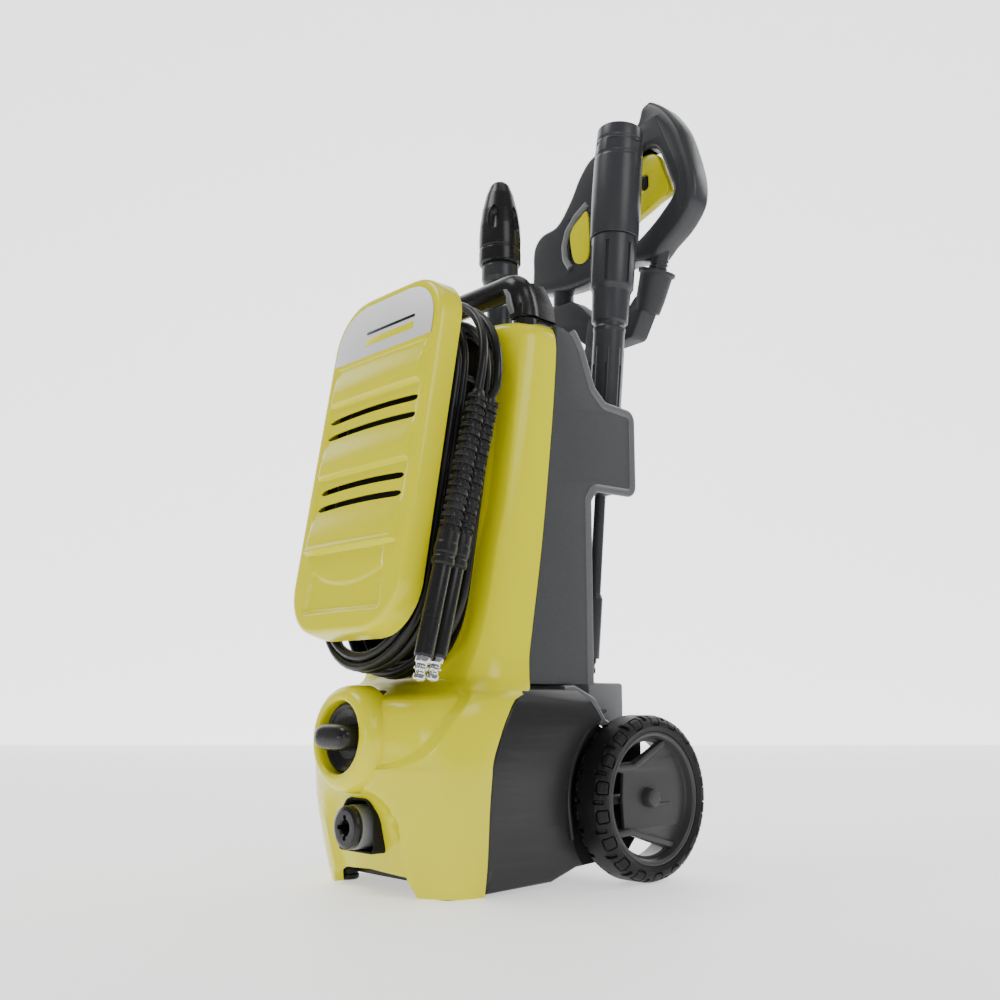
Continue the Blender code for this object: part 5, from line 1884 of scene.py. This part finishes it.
@dataclass(frozen=True)
class Lances:
    """Spray lance with its turning head, and the rotor lance."""

    rotor: Vector = Vector((-0.07, 0.07, 0.811))

    def ribs(self, start: Point, along: Point, rows: Sequence[Point], turns: int, width: float) -> list[Mesh]:
        """Lengthwise raised ribs round a turned body, from (radius, height) to (radius, height).

        Args:
            start: where the axis has height zero.
            along: direction of the axis.
            rows: (radius, height) of its two ends.
            turns: number of copies.
            width: radius of a rib.

        Returns:
            The meshes.
        """
        made = repeated(
            tube("rib", [Vector((r, 0, h)) for r, h in rows], width, 8), turns, (0, 0, 0), tau / turns)
        made.transform(aim(start, along))
        return [made]

    def slots(
            self, start: Point, along: Point, radius: float, low: float, high: float, turns: int, size: Point,
            offset: float = 0.0) -> list[Mesh]:
        """Cutters for short slots round a body: size is (width, depth).

        Args:
            start: where the axis has height zero.
            along: direction of the axis.
            radius: radius in metres.
            low: lower end or corner.
            high: upper end or corner.
            turns: number of copies.
            size: width and depth of a slot.
            offset: angle of the first slot.

        Returns:
            The meshes.
        """
        place = aim(start, along)
        made = []
        for k in range(turns):
            angle = offset + tau * k / turns
            cutter = block(
                "slot", (radius - size[1], -size[0] / 2, low), (radius + 0.004, size[0] / 2, high), 0)
            cutter.transform(place @ Matrix.Rotation(angle, 4, "Z"))
            made.append(cutter)
        return made

    def spray(self) -> None:
        """Head, slotted middle and shaft of the spray lance."""
        down = -LANCE_UP
        head = lathe(
            "head", [(0, 0.12), (0.01, 0.12), (0.01, 0.136), (0.0282, 0.136), (0.029, 0.08), (0.0284, 0.04),
            (0.0276, 0.038), (0.0276, 0.036), (0.0282, 0.034), (0.0276, 0.02), (0.0268, 0.0185),
            (0.0268, 0.0165), (0.0274, 0.015), (0.0266, 0.002), (0.025, 0.0), (0.0085, 0.0), (0.007, 0.002),
            (0.007, 0.03), (0, 0.03)], LANCE_TOP, down, 96, 0.0009)
        head = carved(
            head, [merge("cuts", self.slots(LANCE_TOP, down, 0.0279, 0.02, 0.0345, 6, (0.015, 0.0014), 0.3))])
        piece("lance_head", head, Finish.LANCE, Body.SPRAY_HEAD, "spray_lance_head")
        shaft = lathe(
            "shaft", [(0, 0.622), (0.0088, 0.62), (0.009, 0.555), (0.0064, 0.549), (0.0062, 0.44),
            (0.0165, 0.436), (0.018, 0.25), (0.0189, 0.246), (0.018, 0.244), (0.018, 0.24), (0.0208, 0.238),
            (0.0222, 0.202), (0.0252, 0.196), (0.0262, 0.1365), (0.0096, 0.1365), (0.0096, 0.122), (0, 0.122)],
            LANCE_TOP, down, 96, 0.0009)
        cuts = self.slots(LANCE_TOP, down, 0.0256, 0.146, 0.194, 6, (0.0036, 0.002), 0.3)
        cuts += self.slots(LANCE_TOP, down, 0.0182, 0.29, 0.36, 6, (0.004, 0.0018), 0.1)
        plug = lathe(
            "plug", [(0, 0.621), (0.0058, 0.621), (0.0055, 0.625), (0.0044, 0.6265), (0.0044, 0.6295),
            (0.0054, 0.631), (0.0054, 0.635), (0.0044, 0.6366), (0, 0.6366)], LANCE_TOP, down, 48, 0.0004)
        parts = merge(
            "parts", [carved(shaft, [merge("cuts", cuts)])]
            + self.ribs(LANCE_TOP, down, ((0.0168, 0.27), (0.0158, 0.43)), 8, 0.0016))
        piece("lance_shaft", parts, Finish.LANCE, Body.SPRAY_LANCE, "spray_lance")
        piece("lance_plug", plug, Finish.BLACK, Body.SPRAY_LANCE, slot="black_plastic")

    def rotor_lance(self) -> None:
        """Cone-shaped rotor nozzle on its shaft."""
        down = (0, 0, -1)
        cone = lathe(
            "cone", [(0, 0.108), (0.024, 0.108), (0.0258, 0.1055), (0.0258, 0.0905), (0.0247, 0.089),
            (0.0247, 0.0875), (0.0256, 0.086), (0.0258, 0.076), (0.0252, 0.059, 0.02), (0.0222, 0.038, 0.02),
            (0.0168, 0.016, 0.01), (0.0118, 0.0035, 0.003), (0.0085, 0.0), (0.004, 0.0), (0.004, 0.02),
            (0, 0.02)], self.rotor, down, 96, 0.0009)
        cuts = []
        place = aim(self.rotor, down)
        for k in range(5):
            angle = tau * k / 5 + 0.45
            cutter = lathe(
                "flute", [(0, 0.0), (0.007, 0.012, 0.004), (0.008, 0.03, 0.004), (0, 0.046)], (0, 0, 0.03),
                (0.3, 0, 1), 24, 0.0)
            cutter.transform(place @ Matrix.Rotation(angle, 4, "Z") @ Matrix.Translation((0.0205, 0, 0.004)))
            cuts.append(cutter)
        piece(
            "rotor_cone", carved(cone, [merge("flutes", cuts)]), Finish.BLACK, Body.ROTOR_LANCE, "rotor_nozzle")
        shaft = lathe(
            "shaft", [(0, 0.592), (0.0088, 0.588), (0.009, 0.522), (0.0064, 0.516), (0.0062, 0.406),
            (0.0165, 0.402), (0.018, 0.24), (0.0152, 0.18), (0.0185, 0.134), (0.0205, 0.132), (0.0225, 0.126),
            (0.0225, 0.1125), (0.0215, 0.1085), (0, 0.1085)], self.rotor, down, 96, 0.0009)
        plug = lathe(
            "plug", [(0, 0.59), (0.0058, 0.59), (0.0055, 0.594), (0.0044, 0.5955), (0.0044, 0.5985),
            (0.0054, 0.6), (0.0054, 0.605), (0.0044, 0.6065), (0, 0.6065)], self.rotor, down, 48, 0.0004)
        ribs = self.ribs(self.rotor, down, ((0.0165, 0.26), (0.0158, 0.398)), 8, 0.0016)
        ribs += self.ribs(self.rotor, down, ((0.0212, 0.114), (0.0198, 0.13)), 24, 0.0011)
        piece(
            "rotor_shaft", merge("rotor_shaft", [shaft, plug, *ribs]), Finish.LANCE,
            Body.ROTOR_LANCE, "rotor_lance")

    def build(self) -> None:
        """Place both lances."""
        self.spray()
        self.rotor_lance()


GUN_Y = 0.183
CUP_LOW = Vector((0.068, GUN_Y, 0.634))
CUP_AXIS = Vector((0.34, 0, 0.94)).normalized()


def closed_curve(points: Sequence[Point], steps: int = 6) -> Outline:
    """A smooth closed line through points.

    Args:
        points: points in order.
        steps: steps between two points.

    Returns:
        The outline's points.
    """
    loop = []
    count = len(points)
    for i in range(count):
        a, b, c, d = (Vector(points[(i + k - 1) % count]) for k in range(4))
        for k in range(steps):
            t = k / steps
            loop.append(
                tuple(0.5 * (2 * b + (c - a) * t + (2 * a - 5 * b + 4 * c - d) * t ** 2
                + (3 * b - a - 3 * c + d) * t ** 3)))
    return loop


@dataclass(frozen=True)
class Gun:
    """Trigger gun: a barrel head with a closed grip loop, long trigger, lock and side arc."""

    thick: float = 0.03

    def plane(self, shift: float = 0.0) -> Matrix:
        """The gun's own plane, moved towards the front."""
        return Matrix.Translation((0, GUN_Y - shift, 0)) @ FRONT_PLANE

    def frame_mesh(self) -> Mesh:
        """Body with crowned sides, grip pocket, stub and barrel.

        Returns:
            The mesh.
        """
        outer = [
            (-0.1157, 0.7364), (-0.1136, 0.7656), (-0.0988, 0.7814), (-0.0699, 0.7868), (-0.0466, 0.811),
            (-0.0289, 0.838), (-0.0081, 0.8568), (0.0301, 0.8668), (0.067, 0.8706), (0.0764, 0.8882),
            (0.0858, 0.8932), (0.0933, 0.8925), (0.1141, 0.875), (0.1342, 0.8449), (0.1467, 0.8094),
            (0.1544, 0.7763), (0.1544, 0.7537), (0.1486, 0.7382), (0.1311, 0.7198), (0.1083, 0.7055),
            (0.093, 0.694), (0.0776, 0.694), (0.0488, 0.6988), (0.0008, 0.695), (-0.0568, 0.694),
            (-0.1106, 0.7065)]
        loop = [
            (0.03, 0.716), (0.0592, 0.72), (0.0832, 0.7315), (0.1054, 0.7471), (0.1226, 0.765),
            (0.117, 0.7866), (0.108, 0.812), (0.099, 0.829), (0.086, 0.8355), (0.068, 0.83), (0.024, 0.804),
            (0.019, 0.76)]
        body = curve_part(
            "gun_body", [closed_curve(outer), closed_curve(loop)], self.thick, self.plane(), 0.006)
        pocket = [(0.098, 0.75), (0.1285, 0.765), (0.127, 0.79), (0.118, 0.816), (0.104, 0.834), (0.09, 0.815)]
        cuts = [
            curve_part("pocket", [closed_curve(pocket)], 0.018, self.plane(), SHARP),
            block("yoke", (-0.046, GUN_Y - 0.03, 0.722), (-0.01, GUN_Y - 0.0125, 0.785), 0),
            block("tongue", (0.04, GUN_Y - 0.009, 0.795), (0.085, GUN_Y + 0.009, 0.846), 0)]
        for shift in (self.thick / 2 + 0.0006, -self.thick / 2 - 0.0006):
            grip = [
                (0.101, 0.87), (0.123, 0.845), (0.137, 0.808), (0.144, 0.776), (0.144, 0.756), (0.136, 0.74),
                (0.13, 0.752), (0.134, 0.776), (0.126, 0.804), (0.112, 0.838)]
            cuts.append(curve_part("grip_panel", [closed_curve(grip)], 0.0026, self.plane(shift), 0.0006))
        body = carved(body, cuts)
        stub = lathe(
            "stub", [(0, 0.0), (0.01, 0.0), (0.01, 0.055), (0, 0.055)], CUP_LOW + CUP_AXIS * 0.02, CUP_AXIS, 48)
        barrel = lathe(
            "barrel", [(0, 0.0), (0.0122, 0.0), (0.0118, 0.011), (0.0133, 0.013), (0.0133, 0.036), (0, 0.036)],
            (-0.072, GUN_Y, 0.6645), (0, 0, 1), 48)
        coil = lathe(
            "coil", [(0.0095, 0.0258), (0.0112, 0.0262), (0.0112, 0.0278), (0.0095, 0.0282)], (0, 0, 0),
            (0, 0, 1), 40, 0.0003, ring=True)
        ribs = repeated(coil, 9, (0, 0, 0.0045))
        ribs.transform(aim(CUP_LOW, CUP_AXIS))
        return merge("gun", [body, stub, barrel, ribs])

    def build(self) -> None:
        """Place the gun."""
        piece("gun_body", self.frame_mesh(), Finish.LANCE, Body.GUN, "gun_frame")
        front = self.thick / 2
        arc = [
            (-0.013, 0.796), (-0.033, 0.785), (-0.048, 0.77), (-0.0545, 0.752), (-0.053, 0.734),
            (-0.044, 0.719)]
        path = [
            Vector((x, GUN_Y - front + 0.0005, z)) for x,
            z in rounded([(*p, 0.012) for p in arc], 0.012, 4, closed=False)]
        piece("gun_arc", tube("arc", path, 0.0046, 14), Finish.GREY, Body.GUN, slot="grey_plastic")
        lens = [
            (-0.0435, 0.756), (-0.04, 0.77), (-0.027, 0.78), (-0.0125, 0.783), (-0.0125, 0.726),
            (-0.035, 0.724)]
        insert = curve_part("insert", [closed_curve(lens)], 0.0034, self.plane(0.0148), 0.0008)
        piece("gun_window", insert, Finish.YELLOW, Body.GUN, "gun_insert")
        lever = [
            (0.093, 0.826), (0.102, 0.805), (0.111, 0.775), (0.09, 0.766), (0.064, 0.757), (0.04, 0.752),
            (0.036, 0.78), (0.052, 0.805), (0.06, 0.825), (0.074, 0.831)]
        hole = oblong((0.0688, 0.7868), (0.0792, 0.8052), 0.005, 5)
        piece(
            "trigger_lever", curve_part("lever", [closed_curve(lever), hole], 0.014, self.plane(), 0.0026),
            Finish.YELLOW, Body.TRIGGER, "gun_trigger")
        knob = oblong((0.0692, 0.7872), (0.0788, 0.8048), 0.0048, 5)
        piece(
            "lock_slider", curve_part("lock", [knob], 0.016, self.plane(), 0.0012), Finish.BLACK,
            Body.LOCK, "trigger_lock")


@dataclass(frozen=True)
class Holders:
    """Block that the lances stand in, and the leaning bracket that carries the gun."""

    def lance_axis(self, height: float) -> Vector:
        """The point of the spray lance's axis at a height."""
        return LANCE_TOP + LANCE_UP * ((height - LANCE_TOP.z) / LANCE_UP.z)

    def block_mesh(self) -> Mesh:
        """Holder with a closed socket and a clip.

        Returns:
            The mesh.
        """
        body = block("body", (-0.0965, 0.0372, 0.4145), (0.0965, 0.1075, 0.476), 0.0022)
        low, high = self.lance_axis(0.4), self.lance_axis(0.5)
        clip = lathe(
            "clip", [(0, 0.0145), (0.024, 0.0145), (0.024, 0.0765), (0, 0.0765)], low, high - low, 64, 0.0012)
        body = carved(body, [clip], "UNION")
        bore = 0.0188
        leaning = lathe("bore", [(0, -0.01), (bore, -0.01), (bore, 0.12), (0, 0.12)], low, high - low, 64, 0.0)
        mouth = block("mouth", (low.x - 0.0115, 0.108, 0.4), (low.x + 0.0135, 0.16, 0.49), 0)
        standing = lathe(
            "bore", [(0, 0.4), (bore, 0.4), (bore, 0.49), (0, 0.49)], (-0.07, 0.07, 0), (0, 0, 1), 64, 0.0)
        return carved(body, [leaning, mouth, standing])

    def bracket(self) -> Mesh:
        """Leaning post, cradle arm and grip cup.

        Returns:
            The mesh.
        """
        post = rounded(
            [(0.06, 0.4765, 0.001), (0.1, 0.4765, 0.002), (0.125, 0.5, 0.02), (0.196, 0.59, 0.02),
            (0.196, 0.645, 0.004), (0.168, 0.645, 0.004), (0.16, 0.6, 0.02), (0.085, 0.515, 0.02),
            (0.06, 0.5, 0.01)], 0.0, 5)
        arm = rounded(
            [(-0.1, 0.676, 0.003), (-0.1, 0.652, 0.01), (-0.05, 0.634, 0.015), (-0.01, 0.602, 0.015),
            (0.055, 0.604, 0.01), (0.076, 0.64, 0.004), (0.062, 0.655, 0.004), (0.04, 0.634, 0.01),
            (0, 0.634, 0.01), (-0.03, 0.664, 0.01), (-0.045, 0.676, 0.003)], 0.0, 5)
        holder = curve_part("post", [post], 0.032, SIDE_PLANE, 0.003)
        arm_mesh = curve_part("arm", [arm], 0.028, Matrix.Translation((0, GUN_Y, 0)) @ FRONT_PLANE, 0.003)
        cup = lathe(
            "cup", [(0, 0.0), (0.015, 0.0), (0.0172, 0.015, 0.004), (0.0195, 0.044), (0.0222, 0.046),
            (0.0225, 0.05), (0, 0.05)], CUP_LOW, CUP_AXIS, 64, 0.0008)
        hollow = lathe(
            "hollow", [(0, 0.004), (0.0125, 0.004), (0.0205, 0.056), (0, 0.056)], CUP_LOW, CUP_AXIS, 64, 0.0)
        cradle = lathe(
            "cradle", [(0, 0.664), (0.0128, 0.664), (0.0128, 0.69), (0, 0.69)], (-0.072, GUN_Y, 0), (0, 0, 1),
            64, 0.0)
        return carved(carved(holder, [arm_mesh, cup], "UNION"), [hollow, cradle])

    def build(self) -> None:
        """Place the holders."""
        piece("holder_block", self.block_mesh(), Finish.DARK, Body.MACHINE, "lance_holder")
        piece("gun_bracket", self.bracket(), Finish.HOLDER, Body.MACHINE, "gun_holder")


@dataclass(frozen=True)
class RearFittings:
    """Cable hooks, cable gland, water inlet and the front foot pads."""

    hook_width: float = 0.04

    def hook(self, lower: bool) -> Mesh:
        """Ribbed hook with a turned-up lip.

        Args:
            lower: whether it is the lower, fixed hook.

        Returns:
            The mesh.
        """
        line = rounded(
            [(0.0372, -0.007, 0.001), (0.078, -0.007, 0.004), (0.078, 0.024, 0.003), (0.072, 0.024, 0.0028),
            (0.07, 0.003, 0.005), (0.0372, 0.003, 0.001)], 0.0, 5)
        moved = [(y, 0.245 - z) if lower else (y + 0.0045, 0.345 + z) for y, z in line]
        web = rounded([(0.0372, -0.013, 0.001), (0.06, -0.0068, 0.001), (0.0372, -0.006, 0.001)], 0.0, 3)
        webs = [(y, 0.245 - z) if lower else (y + 0.0045, 0.345 + z) for y, z in web]
        parts = [curve_part("hook", [moved], self.hook_width, SIDE_PLANE, 0.0016)]
        rib = curve_part("web", [webs], 0.003, Matrix.Translation((-0.012, 0, 0)) @ SIDE_PLANE, 0.0004)
        parts.append(repeated(rib, 3, (0.012, 0, 0)))
        if not lower:
            parts.append(
                lathe("pivot", [(0, 0.037), (0.0118, 0.037), (0.0122, 0.0385), (0.0122, 0.0425), (0, 0.0425)],
                (0, 0, 0.3435), (0, 1, 0), 48, 0.0006))
        return merge("hook", parts)

    def inlet(self) -> Mesh:
        """Garden-hose coupling with grip ribs and an open mouth.

        Returns:
            The mesh.
        """
        ring = lathe(
            "inlet", [(0.008, 0.062), (0.0118, 0.062), (0.0125, 0.0605), (0.0125, 0.056), (0.0112, 0.0545),
            (0.0112, 0.052), (0.0134, 0.05), (0.0134, 0.028), (0.0163, 0.026), (0.0163, 0.0187),
            (0.0138, 0.018), (0.0138, 0.0), (0.008, 0.0)], (0, 0, 0), (0, 0, 1), 72, 0.0004, ring=True)
        rib = tube("rib", [Vector((0.0132, 0, 0.03)), Vector((0.0132, 0, 0.049))], 0.0009, 8)
        mesh = merge("inlet", [ring, repeated(rib, 18, (0, 0, 0), pi / 9)])
        mesh.transform(aim((0.045, 0.096, 0.118), (0, 1, 0)))
        return mesh

    def gland(self) -> Mesh:
        """Cable gland with a round flanged nut and a ribbed flexible sleeve.

        Returns:
            The mesh.
        """
        body = lathe(
            "gland", [(0.0042, 0.02), (0.0066, 0.02), (0.0088, 0.005), (0.0118, 0.0042), (0.012, 0.0),
            (0.0042, 0.0)], (0, 0, 0), (0, 0, 1), 48, 0.0004, ring=True)
        rib = lathe(
            "sleeve", [(0.006, 0.0072), (0.009, 0.0074), (0.0088, 0.0086), (0.006, 0.0088)], (0, 0, 0),
            (0, 0, 1), 40, 0.0002, ring=True)
        mesh = merge("gland", [body, repeated(rib, 3, (0, 0, 0.003))])
        mesh.transform(aim((-0.05, 0.0369, 0.222), (0, 1, 0)))
        return mesh

    def pad(self, side: int) -> Mesh:
        """Foot pad with a bevelled tread and a groove."""
        return lathe(
            "pad", [(0, 0.0), (0.01, 0.0), (0.0115, 0.0016), (0.0115, 0.005), (0.0106, 0.0058),
            (0.0106, 0.0068), (0.0115, 0.0076), (0.0115, 0.0118), (0, 0.0118)], (side * 0.08, -0.128, 0),
            (0, 0, 1), 48, 0.0004)

    def build(self) -> None:
        """Place the fittings."""
        piece("hook_fixed", self.hook(True), Finish.BLACK, Body.MACHINE, "cable_hook_lower")
        piece("hook_turning", self.hook(False), Finish.BLACK, Body.HOOK, "cable_hook_upper")
        piece("inlet_coupling", self.inlet(), Finish.HOLDER, Body.MACHINE, "water_inlet")
        piece("lead_gland", self.gland(), Finish.RUBBER, Body.MACHINE, "cable_gland")
        piece("pad_right", self.pad(1), Finish.RUBBER, Body.MACHINE, "foot_pad_right")
        piece("pad_left", self.pad(-1), Finish.RUBBER, Body.MACHINE, "foot_pad_left")


# Studio
VIEW_TURN = radians(48.0)
WHITE = (1.0, 1.0, 1.0, 1.0)


def stage_sheet(name: str, corners: Sequence[Point], rough: float, scale: float, grey: float,
                glow: float) -> Object:
    """A pale flat sheet of the studio.

    Args:
        name: object name.
        corners: its four corners.
        rough: lowest roughness.
        scale: features per metre of the roughness.
        grey: base colour.
        glow: emission strength.

    Returns:
        The staged object.
    """
    sheet = linked(name, build(corners, [(0, 1, 2, 3)], name))
    net = Net("studio_" + name)
    net.link("Roughness", rough + 0.1 * net.noise(scale))
    net.fix(Base_Color=(grey, grey, grey, 1.0), Emission_Color=WHITE, Emission_Strength=glow)
    sheet.data.materials.append(net.material)
    return sheet


def studio() -> None:
    """Pale floor, soft lights and the camera."""
    stage_sheet("floor", [(-14, -14, 0), (14, -14, 0), (14, 14, 0), (-14, 14, 0)], 0.55, 3.0, 0.93, 0.74)
    wall = stage_sheet("backdrop", [(-6, 0, 0), (6, 0, 0), (6, 0, 6), (-6, 0, 6)], 0.7, 2.0, 0.9, 1.9)
    wall.location = (-2.6, 2.34, -0.02)
    wall.rotation_euler = (0, 0, VIEW_TURN)
    for name, place, target, size, power in (
            ("key", (-0.9, -1.3, 2.9), (0, -0.1, 0.4), 1.3, 36),
            ("side", (2.3, -0.1, 1.7), (0, 0, 0.4), 1.1, 15), ("low", (1.3, -2.2, 0.5), (0, 0, 0.25), 0.6, 7),
            ("back", (0.9, 2.0, 1.9), (0, 0, 0.5), 1.0, 14), ("top", (0.2, 0.3, 3.0), (0, 0, 0.3), 1.4, 9)):
        light = bpy.data.lights.new(name, "AREA")
        light.energy = power
        light.size = size
        obj = linked(name, light)
        obj.location = place
        obj.rotation_euler = (Vector(target) - Vector(place)).to_track_quat("-Z", "Y").to_euler()
    world = bpy.data.worlds.new("studio")
    world.use_nodes = True
    sky = world.node_tree.nodes["Background"].inputs
    sky["Color"].default_value = WHITE
    sky["Strength"].default_value = 0.24
    bpy.context.scene.world = world
    data = bpy.data.cameras.new("camera")
    data.lens = 40.36
    data.sensor_width = 36.0
    camera = linked("camera", data)
    camera.location = (0.902, -0.805, 0.1762)
    camera.rotation_euler = (radians(100.18), 0.0, VIEW_TURN)
    bpy.context.scene.camera = camera


# Finish of each inner part that no piece replaces.
INNER_PARTS = {
    Finish.STEEL: (
        "inlet_filter", "axle", "handle_leg_right", "handle_leg_left", "motor_housing", "motor_rotor",
        "motor_bearing_lower", "motor_bearing_upper", "swash_plate", "piston_1", "piston_2", "piston_3",
        "outlet_pipe"),
    Finish.COPPER: ("motor_stator",),
    Finish.BLACK: ("handle_guide", "motor_fan"),
    Finish.ALLOY: ("pump_housing",),
    Finish.BRASS: ("pump_head",),
    Finish.RUBBER: ("piston_seal", "pump_mount", "suction_pipe"),
    Finish.GREY: ("run_capacitor",),
    Finish.HOLDER: ("switch_box",),
}


def dress(frame: dict[str, dict]) -> None:
    """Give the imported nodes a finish.
    """
    finishes = {name: finish for finish, names in INNER_PARTS.items() for name in names}
    for name, obj in frame["nodes"].items():
        obj.data.materials.clear()
        obj.data.materials.append(Palette.get(finishes.get(name, Finish.DARK)))


ASSEMBLIES = (
    FrontShell(), WindingPanel(), Hose(), RearShell(), BaseShell(), Wheels(), Controls(), Handle(), Lances(),
    Gun(), Holders(), RearFittings())


def main() -> None:
    """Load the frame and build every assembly."""
    logging.basicConfig(level=logging.INFO)
    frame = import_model()
    studio()
    dress(frame)
    for assembly in ASSEMBLIES:
        assembly.build()
        log.info("built %s", type(assembly).__name__)


if __name__ == "__main__":
    main()
